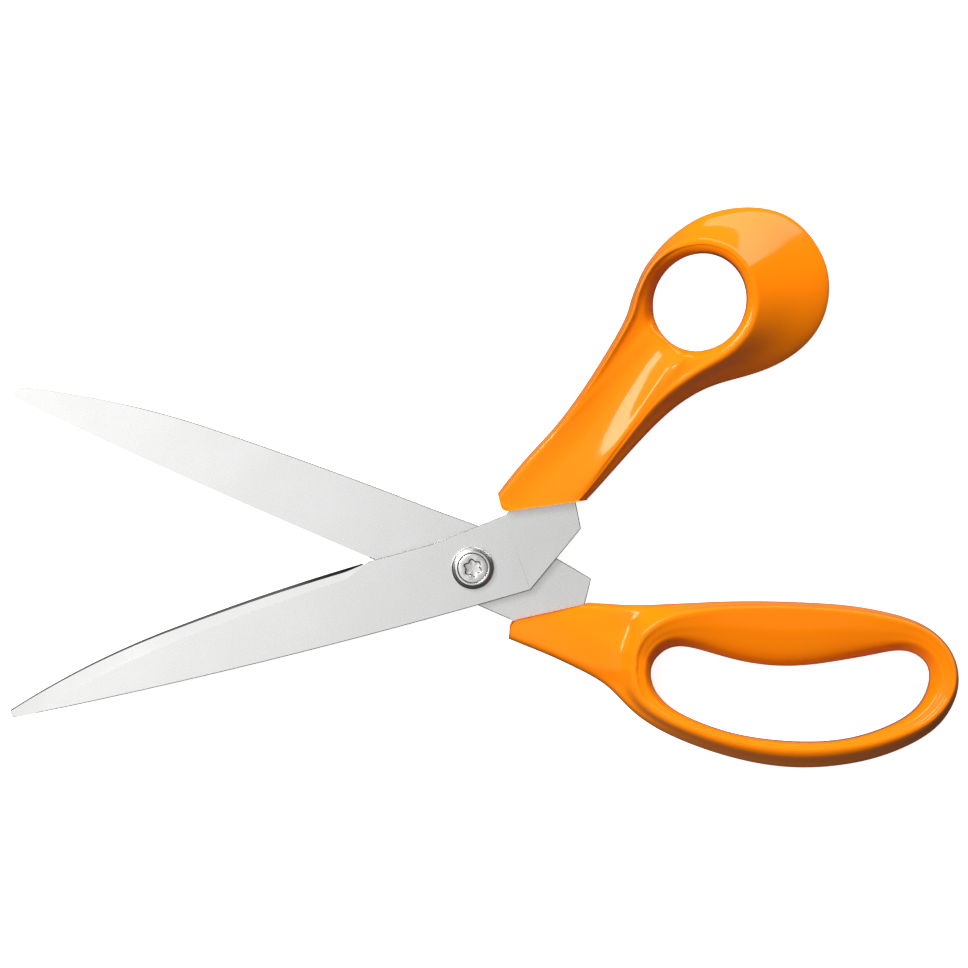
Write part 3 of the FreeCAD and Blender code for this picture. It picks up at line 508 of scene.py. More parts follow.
def handle_section(hole, ridge, outer, z):
    """Control points round one section, from the opening's wall over the front and back."""
    inner_run, outer_run = ridge - hole, outer - ridge
    inner, width = np.linalg.norm(inner_run), np.linalg.norm(outer_run)
    throat, step = min(0.35, 2.6 / inner), min(0.5, 8.0 / inner)
    lip = z["edge"] + z["lip_up"]
    foot = lip + z["hold"] * (z["rim"] - z["bead"] - lip)

    def inside(share, height):
        spot = hole + inner_run * share
        return (spot[0], spot[1], height)

    def outside(distance, share, height):
        spot = ridge + outer_run * min(distance / width, share)
        return (spot[0], spot[1], height)

    def hollow(share, extra=0.0):
        dome = 1 - (1 - min(share / 0.8, 1)) ** z["round"] + extra
        x, y, height = inside(share, z["mouth"] + dome * (z["rim"] - z["dish"] - z["mouth"]))
        return (x, y, height + (z["bowl"](x, y) - height) * z["bowled"])

    return [
        inside(0, 0.5 * (z["mouth"] + z["back_in"])),
        inside(0, z["mouth"] - 1.2),
        inside(0.2 * throat, z["mouth"] - 0.1),
        hollow(throat, z["step"]),
        hollow(step),
        hollow(max(step + 0.12, 0.5)),
        hollow(0.8),
        inside(1 - 0.6 / inner, z["rim"]),
        outside(0.6, 0.2, z["rim"]),
        outside(1.8, 0.35, z["rim"] - z["bead"]),
        outside(z["foot"], 0.5, foot),
        outside(2 * z["foot"], 0.7, lip + z["flare"] * (foot - lip)),
        outside(width - min(0.5, 0.15 * width), 1.0, lip),
        outside(width + 0.35, 99.0, z["edge"]),
        outside(width - 0.8, 1.0, z["edge"] - z["lip_down"]),
        outside(0.45 * width, 1.0, z["back_out"]),
        inside(0.6, z["back_in"]),
        inside(0.15 * throat, z["back_in"] + 0.9),
    ]


def section_ring(openings, ridge, outline, runs, fixed):
    """A section at each station; runs are keyed round the ring, fixed values hold all round."""
    count = len(outline)
    runs = {name: keyed(count, values) for name, values in runs.items()}
    return [handle_section(openings[i], ridge[i], outline[i], {
        **fixed, **{name: run[i] for name, run in runs.items()}}) for i in range(count)]


def inset_point(outline, index, distance):
    """The outline's point moved inwards, square to the line through its neighbours."""
    way = outline[(index + 1) % len(outline)] - outline[index - 1]
    return outline[index] + np.array([-way[1], way[0]]) / np.linalg.norm(way) * distance


print("blend check:", [round(value, 2) for value in keyed(6, {0: 0.0, 3: 1.0})])

# %% [markdown]
# ## Thumb handle: stations
#
# The thumb's opening is an ellipse. The outline swells into a wide bell above it, and then the
# shank's two sides run down to the blade, so the stations go round the ring first and along the
# shank last.

# %% Thumb handle stations
THUMB_HOLE = {"centre": (80.8, 50.5), "long": 13.6, "short": 12.4, "tilt": 42.5}
THUMB_HEEL, THUMB_OUTER = (12.2, 12.2), (34.2, 8.45)
RING_START, RING_STEP = -107.5, 15.0
RING_WIDTHS = [11.1, 9.8, 10.8, 13.3, 16.8, 20.5, 22.8, 23.6, 22.6, 20.6,
               16.6, 12.8, 9.9, 7.6, 6.3, 5.4, 5.3, 5.3, 6.3, 8.5]
OUTER_SIDE = [(0.19, 1.5), (0.41, 1.5), (0.64, 0.8), (0.85, 0.1)]
HEEL_SIDE = [(0.82, 0.3), (0.62, -1.2), (0.42, -1.6), (0.24, -1.2)]
OVERRUN = 9.0


def side_point(start, end, share, offset):
    along = end - start
    left = np.array([-along[1], along[0]]) / np.linalg.norm(along)
    return start + along * share + left * offset


def thumb_outlines():
    """Matching points round the opening's edge and round the outline."""
    centre, tilt = np.array(THUMB_HOLE["centre"]), math.radians(THUMB_HOLE["tilt"])

    def edge_at(angle, further=0.0):
        turn = math.radians(angle) - tilt
        radius = THUMB_HOLE["long"] * THUMB_HOLE["short"] / math.hypot(
            THUMB_HOLE["short"] * math.cos(turn), THUMB_HOLE["long"] * math.sin(turn))
        return centre + (radius + further) * np.array([math.cos(turn + tilt), math.sin(turn + tilt)])

    angles = [RING_START + RING_STEP * step for step in range(len(RING_WIDTHS))]
    openings = [edge_at(angle) for angle in angles]
    outers = [edge_at(angle, width) for angle, width in zip(angles, RING_WIDTHS)]
    heel = np.array(THUMB_HEEL) + (0.2, 3.9)
    outer = np.array(THUMB_OUTER)
    heel_way = side_point(heel, outers[-1], -OVERRUN / np.linalg.norm(heel - outers[-1]), 0)
    outer_way = side_point(outer, outers[0], -OVERRUN / np.linalg.norm(outer - outers[0]), 0)
    shank = [side_point(heel, outers[-1], 1 - share, offset) for share, offset in reversed(HEEL_SIDE)]
    shank += [heel_way, side_point(heel_way, outer_way, 0.5, 0), outer_way]
    shank += [side_point(outer, outers[0], 1 - share, offset) for share, offset in reversed(OUTER_SIDE)]
    gap = (360 - RING_STEP * (len(RING_WIDTHS) - 1)) / (len(shank) + 1)
    openings += [edge_at(angles[-1] + gap * (step + 1)) for step in range(len(shank))]
    return openings, outers + shank


thumb_openings, thumb_edges = thumb_outlines()
print("thumb handle:", len(thumb_edges), "stations")

# %% [markdown]
# ## Thumb handle: heights
#
# The rim is a thin ridge close to the opening round the ring, and it moves out to the silhouette
# along the shank. The bell flares away and down behind the opening, as deep as a trumpet's
# mouth.

# %% Thumb handle sections
BELL = 8.2
BOWL = {"shallow": 0.6, "deep": 3.0, "length": 48.0, "narrow": 1.0, "broad": 5.0}
FIRST_SHANK = 20
THUMB_RIDGE = {0: 0.45, 1: 0.34, 2: 0.26, 3: 0.19, 5: 0.12, 7: 0.09, 9: 0.1, 11: 0.19, 12: 0.28,
               13: 0.4, 14: 0.56, 15: 0.72, 17: 0.82, 19: 0.82}
SHANK_INSETS = [1.2, 1.0, 0.9, 0.9, 0.9, 2.0, 1.0, 2.2, 3.0, 3.9, 4.9]


def way_past(point, run):
    """The distance from a point to a run of points, in plan."""
    nearest = 1e9
    for start, end in zip(run, run[1:]):
        along = end - start
        share = np.clip(np.dot(point - start, along) / np.dot(along, along), 0, 1)
        nearest = min(nearest, np.linalg.norm(point - start - along * share))
    return nearest


def thumb_ridge():
    shares = keyed(FIRST_SHANK, THUMB_RIDGE)
    ring = [hole + (outer - hole) * share
            for hole, outer, share in zip(thumb_openings, thumb_edges, shares)]
    shank = [inset_point(thumb_edges, FIRST_SHANK + k, inset) for k, inset in enumerate(SHANK_INSETS)]
    return ring + shank


def thumb_sections():
    rim, front, depth, wall = 8.2, 6.9, 5.4, 3.6
    ridge = thumb_ridge()
    left_ridge, right_ridge = ridge[16:25], ridge[26:] + ridge[:3]

    def bowl(x, y):
        """The height of the shank's hollow, from how a point lies between the two ridges."""
        spot = np.array((x, y))
        along = min(max((x - THUMB_HEEL[0]) / BOWL["length"], 0), 1)
        flat = BOWL["narrow"] + (BOWL["broad"] - BOWL["narrow"]) * along ** 5
        left = way_past(spot, left_ridge)
        right = max(way_past(spot, right_ridge) - flat, 0)
        share = left / (left + right)
        depth = BOWL["shallow"] + (BOWL["deep"] - BOWL["shallow"]) * along ** 1.5
        return front + (rim - front) * along - depth * 4 * share * (1 - share)

    lips = {0: 2.4, 3: 1.6, 10: 1.6, 12: 2.6, 14: 3.2, 18: 3.5, 27: 3.5, 30: 3.0}
    bell_back = -0.62 * BELL - wall
    return section_ring(thumb_openings, ridge, thumb_edges, {
        "rim": {0: rim, 17: rim, 23: front, 27: front, 30: rim},
        "bead": {0: 1.4, 4: 1.3, 10: 1.3, 14: 0.9, 17: 0.7, 25: 0.7, 28: 1.2},
        "dish": {0: 0.6, 3: 0.3, 13: 0.3, 16: 1.6, 20: 2.0},
        "mouth": {0: 5.8, 1: 6.2, 3: rim - 1.3, 12: rim - 1.6, 14: 4.6, 16: 1.2, 18: 1.4, 21: 3.2,
                  24: 4.8, 28: 5.6},
        "bowled": {0: 0.5, 1: 0.0, 17: 0.0, 22: 1.0, 29: 1.0},
        "edge": {0: -3.0, 1: -4.4, 2: -6.4, 3: -7.6, 5: -BELL, 8: -BELL, 10: -0.6 * BELL,
                 11: -2.8, 12: -1.0, 14: 0.0, 16: 0.2, 20: 1.0, 28: 0.5, 30: -1.0},
        "lip_up": lips, "lip_down": lips,
        "back_out": {0: -5.6, 2: -8.4, 5: bell_back, 8: bell_back, 10: -8.0, 13: -6.2, 17: -4.6,
                     23: -4.2, 28: -4.4},
    }, {"round": 1.4, "step": 0.0, "bowl": bowl, "foot": 99.0, "hold": 0.5, "flare": 0.58,
        "back_in": -depth})


print("points in a section:", len(thumb_sections()[0]))

# %% [markdown]
# ## Finger handle: stations and heights
#
# The finger loop's opening is a long rounded shape that follows four fingers, so its outline and
# its opening are given point by point. The top strand has a tall rim near the silhouette and a
# scooped inner wall; the bottom bar is lower, with its ridge close to the opening.

# %% Finger handle stations and sections
FINGER_HEEL, FINGER_OUTER = (14.6, -9.9), (32.6, 1.8)
FINGER_OUTLINE = [
    (135.9, 11.0), (135.2, 17.2), (131.6, 23.2), (125.4, 27.2), (117.8, 28.7), (109.0, 28.0),
    (99.8, 26.3), (90.2, 23.5), (80.2, 20.2), (70.2, 16.5), (61.0, 12.7), (52.5, 9.1), (44.0, 5.6),
    (37.0, 3.5), (26.0, -0.3), (12.0, -4.0), (7.0, -13.2), (18.0, -14.6), (27.5, -15.0),
    (36.5, -15.8), (45.5, -17.2), (53.3, -21.0), (62.0, -23.4), (72.0, -24.2), (82.5, -23.9),
    (93.0, -22.5), (103.2, -19.7), (112.8, -15.4), (121.6, -9.9), (129.2, -3.0), (134.2, 4.0)]
FINGER_OPENING = [
    (127.5, 10.5), (127.3, 14.7), (125.7, 18.3), (121.8, 20.1), (116.7, 19.6), (110.1, 15.6),
    (103.3, 11.7), (95.7, 7.5), (86.9, 3.9), (77.1, 1.7), (68.0, 0.9), (61.2, 0.0), (57.5, -2.3),
    (55.9, -4.8), (55.3, -6.5), (55.2, -7.6), (55.2, -8.6), (55.5, -9.6), (55.9, -10.7),
    (56.6, -11.8), (57.7, -13.2), (60.2, -15.1), (65.2, -17.0), (72.8, -17.7), (82.0, -17.4),
    (91.2, -15.7), (100.2, -13.1), (108.7, -9.6), (116.3, -4.9), (122.7, 0.9), (126.3, 6.0)]
# where the rim's crest lies at a station, from 0 at the opening to 1 at the outline
FINGER_CREST = {0: 0.68, 1: 0.78, 2: 0.84, 3: 0.88, 5: 0.9, 8: 0.92, 9: 0.9, 10: 0.84, 11: 0.7,
                12: 0.48, 13: 0.33, 14: 0.2, 15: 0.13, 16: 0.1, 17: 0.13, 18: 0.17, 19: 0.23,
                20: 0.38, 21: 0.47, 22: 0.41, 24: 0.32, 27: 0.28, 28: 0.34, 29: 0.44, 30: 0.56}


def finger_sections():
    rim, bar, back, bar_back, shank, shank_back = 8.0, 6.4, 9.4, 8.0, 3.8, 6.6
    backs = {0: -bar_back, 4: -back, 11: -back, 14: -shank_back, 19: -shank_back, 23: -bar_back}
    openings, outline = np.array(FINGER_OPENING), np.array(FINGER_OUTLINE)
    crest = np.array(keyed(len(outline), FINGER_CREST))[:, None]
    return section_ring(openings, openings + (outline - openings) * crest, outline, {
        "rim": {2: rim, 11: rim, 14: rim - 1.0, 19: rim - 1.0, 24: bar, 28: bar},
        "dish": {0: 0.5, 4: 0.6, 11: 0.6, 13: 0.8, 20: 0.6, 24: 0.3},
        "mouth": {0: 4.6, 3: 2.0, 5: 0.5, 11: 0.5, 13: 1.5, 16: 3.4, 20: 3.6, 23: 4.6, 28: 5.0},
        "hold": {2: 0.56, 11: 0.56, 13: 0.12, 20: 0.12, 22: 0.56, 24: 0.74, 0: 0.74},
        "foot": {11: 9.0, 13: 3.4, 20: 3.4, 22: 9.0},
        "edge": {0: -3.0, 3: -1.6, 9: -0.8, 13: -1.4, 20: -1.4, 24: -3.2},
        "lip_up": {0: 2.6, 5: 4.6, 10: 4.6, 13: 4.0, 15: shank + 1.4, 18: shank + 1.4, 21: 3.4,
                   25: 2.4},
        "lip_down": {0: 3.0, 5: 4.8, 10: 4.8, 13: 4.4, 15: 4.0, 18: 4.0, 21: 3.6, 25: 3.0},
        "back_out": backs, "back_in": {station: height + 0.6 for station, height in backs.items()},
    }, {"round": 1.6, "step": 0.15, "bead": 1.0, "bowl": lambda x, y: 0.0, "bowled": 0.0, "flare": 0.4})


print("finger handle:", len(FINGER_OUTLINE), "stations")

# %% [markdown]
# ## From sections to a smooth skin
#
# The sections are joined into a coarse cage, a closed tube round the opening. A Subdivision
# Surface turns such a cage into the same kind of surface that a drawing program's smooth sheet
# is, so Geometry Nodes can do it in one step, with the number of steps as a named input. The
# cage is first pulled outwards a little, because smoothing shrinks it.

# %% A Geometry Nodes tree for the moulded skin


def make_skin_tree():
    tree, given, result = new_group("moulded_skin", "Geometry", {
        "Cage": "Geometry", "Smoothing": 3, "Finish": "Material"}, {"Skin": "Geometry"})
    smooth = add_node(tree, "GeometryNodeSubdivisionSurface", {"Mesh": given["Cage"],
                                                               "Level": given["Smoothing"]})
    shaded = add_node(tree, "GeometryNodeSetShadeSmooth", {"Geometry": smooth.outputs["Mesh"]})
    real = add_node(tree, "GeometryNodeRealizeInstances", {"Geometry": shaded.outputs["Geometry"]})
    dressed = add_node(tree, "GeometryNodeSetMaterial", {"Geometry": real.outputs["Geometry"],
                                                         "Material": given["Finish"]})
    tree.links.new(dressed.outputs["Geometry"], result["Skin"])
    return tree


moulded_skin = make_skin_tree()
print("tree:", moulded_skin.name)

# %% Run a Geometry Nodes tree and keep the mesh


def grown_mesh(base, tree, values):
    """The mesh that a tree makes from a base mesh, as a bmesh; values are its named inputs."""
    holder = bpy.data.objects.new("holder", base)
    scene.collection.objects.link(holder)
    modifier = holder.modifiers.new("nodes", "NODES")
    modifier.node_group = tree
    for item in tree.interface.items_tree:
        if item.in_out == "INPUT" and item.name in values:
            modifier[item.identifier] = values[item.name]
    graph = bpy.context.evaluated_depsgraph_get()
    made = bpy.data.meshes.new_from_object(holder.evaluated_get(graph))
    mesh = bmesh.new()
    mesh.from_mesh(made)
    bpy.data.objects.remove(holder)
    bpy.data.meshes.remove(made)
    return mesh


def handle_cage(name, sections):
    """A closed cage over a ring of sections, sharpened along the ring to keep their size."""
    net = np.array(sections)
    net = net * (8 / 6) - (np.roll(net, 1, 0) + np.roll(net, -1, 0)) / 6
    rows, columns = net.shape[:2]
    corners = [(i * columns + j, ((i + 1) % rows) * columns + j,
                ((i + 1) % rows) * columns + (j + 1) % columns, i * columns + (j + 1) % columns)
               for i in range(rows) for j in range(columns)]
    cage = bpy.data.meshes.new(name)
    cage.from_pydata([tuple(p) for p in net.reshape(-1, 3)], [], corners)
    return cage


SMOOTHING = 3
print("each quad of a cage becomes", 4 ** SMOOTHING)

# %% [markdown]
# ## Ending a handle against its blade
#
# The mould ends each handle square across the blade, with a small radius round the end face and
# a bigger one at the heel corner. The end is found by how far a point lies past two lines, with
# the corner between them rounded. The skin is cut at several such distances, the bands between
# the cuts are drawn in along a quarter circle, and the open end is closed with a flat face.

# %% Cut, round and close a handle's end
END_RADIUS = 0.45
HEEL_RADIUS = 1.6


def past_line(start, end, side):
    """How far a point lies to one side of a line through two points."""
    way = np.array(end, float) - np.array(start, float)
    way /= np.linalg.norm(way)
    left = np.array([-way[1], way[0]]) * side

    def distance(point):
        return (point[0] - start[0]) * left[0] + (point[1] - start[1]) * left[1]
    return distance


def handle_end(heel, outer, heel_way, side):
    """How far past the handle's end a point lies; below zero is plastic."""
    across = past_line(heel, outer, side)
    beside = past_line(heel, (heel[0] + heel_way[0], heel[1] + heel_way[1]), -side)

    def distance(point):
        u, v = across(point) + HEEL_RADIUS, beside(point) + HEEL_RADIUS
        return (math.hypot(u, v) if u > 0 and v > 0 else max(u, v)) - HEEL_RADIUS
    return distance


def gradient(field, point):
    step = 0.01
    slope = Vector((field(point + Vector((step, 0, 0))) - field(point),
                    field(point + Vector((0, step, 0))) - field(point), 0))
    return slope.normalized()


def round_off(mesh, end):
    """Cuts the skin where end is 0, with a quarter-round edge, and closes it."""
    turns = [math.radians(angle) for angle in (0, 18, 36, 54, 72, 90)]
    levels = [END_RADIUS * (math.sin(turn) - 1) for turn in turns]
    for level in levels:
        cut_where(mesh, end, level)
    bmesh.ops.delete(mesh, geom=[v for v in mesh.verts if end(v.co) > 1e-6], context="VERTS")
    mesh.normal_update()
    moves = []
    for vertex in mesh.verts:
        depth = end(vertex.co)
        if depth > -END_RADIUS:
            reach = depth + END_RADIUS
            inset = END_RADIUS - math.sqrt(max(END_RADIUS ** 2 - reach ** 2, 0))
            slope = gradient(end, vertex.co)
            inward = vertex.normal - slope * vertex.normal.dot(slope)
            moves.append((vertex, inward.normalized() * -inset))
    for vertex, move in moves:
        vertex.co += move
    rim = [edge for edge in mesh.edges if edge.is_boundary]
    bmesh.ops.triangle_fill(mesh, use_beauty=True, use_dissolve=False, edges=rim)


print("end radius", END_RADIUS, "mm")

# %% Both handles
HANDLES = {
    "thumb": (thumb_sections(), handle_end(THUMB_HEEL, THUMB_OUTER, (0.3, 4.0), -1)),
    "finger": (finger_sections(), handle_end(FINGER_HEEL, FINGER_OUTER, (1.0, -3.5), 1)),
}
for half, (sections, end) in HANDLES.items():
    cage = handle_cage(half + "_cage", sections)
    mesh = grown_mesh(cage, moulded_skin, {"Smoothing": SMOOTHING, "Finish": handle_plastic})
    round_off(mesh, end)
    crease_edges(mesh, degrees=50)
    finished_piece(half + "_handle_skin", mesh, into_model(half), [handle_plastic], half + "_half",
                   "handle_plastic", half + "_handle")

# %% [markdown]
# ## Blades
#
# A blade starts as a flat outline of a few arcs and lines. Its outer face is the lowest of three
# surfaces: the flat of the stock, a wide shallow bevel and a narrow steep one along the cutting
# edge. So the outline is cut into strips, the strips are cut where two of the surfaces meet, and
# each point then takes its height from whichever surface is lowest there.

# %% Outlines from arcs and lines
THICK, GLIDE = 2.8, 0.2
SLEEVE_HOLE, NECK_HOLE, LOCK_HOLE = 3.45, 4.23, 2.0
BEVEL_WIDTH, BEVEL_DROP = (4.7, 2.7), (2.2, 1.3)
EDGE_SLOPE, EDGE_LAND, EDGE_REACH = math.tan(math.radians(62)), 0.12, 2.2
BEVEL_REACH, RUNOUT, SOFT_EDGE = 12.0, 9.0, 0.2
LOCK_INSET, LOCK_PITCH, STOP_GAP = 5.5, 11.0, 0.35


def arc_points(start, end, radius, spacing=0.8):
    """Points from start towards end, without end; the arc bulges to the left of the way."""
    start, end = np.array(start), np.array(end)
    chord = end - start
    half = np.linalg.norm(chord) / 2
    left = np.array([-chord[1], chord[0]]) / (2 * half)
    centre = (start + end) / 2 - left * math.sqrt(radius ** 2 - half ** 2)
    swing = 2 * math.asin(half / radius)
    count = max(3, math.ceil(swing * radius / spacing))
    first = math.atan2(*(start - centre)[::-1])
    return [tuple(centre + radius * np.array([math.cos(first - swing * k / count),
                                              math.sin(first - swing * k / count)]))
            for k in range(count)]


def outline_points(corners, closed=True):
    """corners are (x, y) or (x, y, radius of the arc on to the next corner)."""
    points = []
    for corner, following in zip(corners, corners[1:] + corners[:1] * closed):
        if len(corner) == 3:
            points += arc_points(corner[:2], following[:2], corner[2])
        else:
            points.append(corner)
    return points if closed else points + corners[-1:]


def curve_height(points):
    """y as a function of x along a run of points, carried on past its ends."""
    xs, ys = np.array(sorted(points)).T
    first, last = (ys[1] - ys[0]) / (xs[1] - xs[0]), (ys[-1] - ys[-2]) / (xs[-1] - xs[-2])

    def height(x):
        if x < xs[0]:
            return ys[0] + first * (x - xs[0])
        if x > xs[-1]:
            return ys[-1] + last * (x - xs[-1])
        return float(np.interp(x, xs, ys))
    return height


print("steep edge rises", round(EDGE_SLOPE, 2), "mm for each mm across")

# %% [markdown]
# ## The outlines themselves
#
# The front blade has its cutting edge above and a nearly straight back below; the back blade is
# the other way up. Past the pivot each widens into a shoulder, and a narrow tang goes on into
# the handle, with two holes that the plastic fills and locks into.

# %% Blade outlines
FRONT_EDGE = [(-131.9, 1.0, 237.0), (-81.4, 9.1, 630.0), (-24.5, 10.1)]
BACK_EDGE = [(-27.5, -7.2, 2333.0), (-134.1, -0.3)]


def end_line(heel, outer, side):
    """The line that stays clear of a handle's end by the stop gap, as y of x and x of y."""
    slope = (outer[1] - heel[1]) / (outer[0] - heel[0])
    rise = heel[1] + side * STOP_GAP * math.sqrt(1 + slope ** 2)
    return (lambda x: rise + slope * (x - heel[0])), (lambda y: heel[0] + (y - rise) / slope)


def tang(heel, outer, lean, length, near_left, near_right, width=9.0):
    """A tang's corners, with an arc round its end, and the middles of its two lock holes."""
    turn = math.radians(lean)
    middle = (np.array(heel) + outer) / 2
    along, left = np.array([math.cos(turn), math.sin(turn)]), np.array([-math.sin(turn), math.cos(turn)])
    spot = lambda far, side: tuple(middle + along * far + left * side)
    round_end = length - width / 2
    corners = [spot(near_left, width / 2), spot(round_end, width / 2) + (width * 0.51,),
               spot(round_end, -width / 2), spot(near_right, -width / 2)]
    return corners, [spot(length - LOCK_INSET - LOCK_PITCH * step, 0) for step in range(2)]


finger_y, finger_x = end_line(FINGER_HEEL, FINGER_OUTER, 1)
thumb_y, thumb_x = end_line(THUMB_HEEL, THUMB_OUTER, -1)
front_tang, front_holes = tang(THUMB_HEEL, THUMB_OUTER, 34.0, 34.0, 3, 9)
back_tang, back_holes = tang(FINGER_HEEL, FINGER_OUTER, -14.0, 27.0, 9, 2)

front_outline = outline_points(FRONT_EDGE + [
    (-8.0, 9.5), (12.5, 11.1), (16.7, 13.2)] + front_tang + [
    (32.3, 10.45), (31.3, finger_y(31.3)), (finger_x(-10.4), -10.4, 1733.0), (-131.1, -1.35, 1.6)])
back_outline = outline_points([
    (-131.4, 3.4, 245.0), (-77.6, 10.7, 1370.0), (-16.6, 11.2), (thumb_x(11.4), 11.4),
    (31.3, thumb_y(31.3)), (32.2, 0.2)] + back_tang + [(18.6, -10.9), (14.8, -9.6)]
    + BACK_EDGE[:1] + [(-134.1, -0.3, 3.5)])
print("outline points:", len(front_outline), "and", len(back_outline))

# %% Cut an outline into strips and lift it to its ground height


def blade_mesh(outline, edge, inward, face_z, inner_z, holes):
    """A solid blade; inward is the blade's side of its cutting edge, holes are (x, y, radius)."""
    edge_y = curve_height(edge)
    tip, heel = min(edge)[0], max(edge)[0]
    outward = 1 if face_z > inner_z else -1

    def share(x):
        return min(max((x - tip) / (heel - tip), 0), 1)

    def lift(x, drop):
        """How far a bevel has risen out of the stock, close to the edge's heel."""
        return (drop + 0.4) * max(0, 1 - (heel - x) / RUNOUT)

    def between(x, pair):
        return pair[0] + (pair[1] - pair[0]) * share(x)

    def across(point):
        return (point[1] - edge_y(point[0])) * inward

    def wide(point):
        """The wide bevel's height over the outer face; below zero it cuts into the stock."""
        drop = between(point[0], BEVEL_DROP)
        return lift(point[0], drop) - drop * (1 - across(point) / between(point[0], BEVEL_WIDTH))

    def steep(point):
        """The same for the steep bevel along the edge."""
        return lift(point[0], THICK) - THICK + EDGE_LAND + max(across(point), 0) * EDGE_SLOPE

    mesh = bmesh.new()
    mesh.faces.new([mesh.verts.new((x, y, 0)) for x, y in outline])
    for x in (*np.arange(tip - 2, -10, 1.6), *np.arange(-10, 70, 0.8)):
        bmesh.ops.bisect_plane(mesh, geom=mesh.verts[:] + mesh.edges[:] + mesh.faces[:],
                               plane_co=(x, 0, 0), plane_no=(1, 0, 0))
    cut_where(mesh, lambda p: wide(p) - steep(p) if p[0] < heel else 1.0, 0.0)
    cut_where(mesh, wide, 0.0)
    for x, y, radius in holes:
        near = [f for f in mesh.faces if abs(f.calc_center_median().x - x) < radius + 1.5]
        for step in np.arange(-radius - 0.6, radius + 0.7, 0.6):
            geom = set(near) | {e for f in near for e in f.edges} | {v for f in near for v in f.verts}
            bmesh.ops.bisect_plane(mesh, geom=list(geom), plane_co=(0, y + step, 0), plane_no=(0, 1, 0))
            near = [f for f in mesh.faces if abs(f.calc_center_median().x - x) < radius + 1.5]
        field = lambda p: math.hypot(p[0] - x, p[1] - y) - radius
        cut_where(mesh, field, 0.0)
        inside = [f for f in mesh.faces if field(f.calc_center_median()) < 0]
        bmesh.ops.delete(mesh, geom=inside, context="FACES")
    flat = mesh.faces[:]
    inner = bmesh.ops.extrude_face_region(mesh, geom=flat)
    inner_points = {g for g in inner["geom"] if isinstance(g, bmesh.types.BMVert)}
    for vertex in mesh.verts:
        if vertex in inner_points:
            vertex.co.z = inner_z
        else:
            vertex.co.z = face_z + outward * min(0.0, max(wide(vertex.co), -THICK),
                                                 max(steep(vertex.co), -THICK + EDGE_LAND))
    return mesh, edge_y


def soften(mesh, degrees, width, keep):
    """Small rounded edges wherever the form turns, except where keep(edge) is true."""
    bmesh.ops.recalc_face_normals(mesh, faces=mesh.faces[:])
    sharp = [e for e in mesh.edges if e.is_manifold and e.calc_face_angle(0.0) > math.radians(degrees)
             and not keep(e)]
    bmesh.ops.bevel(mesh, geom=sharp, offset=width, segments=2, profile=0.5, affect="EDGES",
                    clamp_overlap=False)


print("blade maker ready")

# %% Both blades

# half, outline, cutting edge, the blade's side of it, outer face, inner face, bore, lock holes
BLADES = {
    "front_blade": ("thumb", front_outline, outline_points(FRONT_EDGE, closed=False), -1,
                    GLIDE + THICK, GLIDE, SLEEVE_HOLE, front_holes),
    "back_blade": ("finger", back_outline, outline_points(BACK_EDGE, closed=False), 1,
                   -THICK, 0.0, NECK_HOLE, back_holes),
}
for name, (half, outline, edge, inward, face_z, inner_z, bore, locks) in BLADES.items():
    holes = [(0, 0, bore)] + [(x, y, LOCK_HOLE) for x, y in locks]
    mesh, edge_y = blade_mesh(outline, edge, inward, face_z, inner_z, holes)
    heel = max(edge)[0]
    on_edge = lambda e: all(abs(v.co.y - edge_y(v.co.x)) < EDGE_REACH and v.co.x < heel + 1
                            for v in e.verts)
    soften(mesh, degrees=50, width=SOFT_EDGE, keep=on_edge)
    bmesh.ops.recalc_face_normals(mesh, faces=mesh.faces[:])
    # Each face takes its steel; the dark steel on the blade's sides is painted shade.
    for face in mesh.faces:
        x, y, z = face.calc_center_median()
        near_edge = (y - edge_y(x)) * inward < BEVEL_REACH and x < heel + 0.2
        if min(abs(z - face_z), abs(z - inner_z)) < 0.01:
            face.material_index = FACE
        else:
            face.material_index = BEVEL if near_edge and abs(face.normal.z) > 0.2 else SHEARED_PAINTED_SHADE
    crease_edges(mesh, degrees=11)
    finished_piece(name + "_ground", mesh, into_model(half), blade_finishes[half],
                   half + "_half", "blade_steel", name)
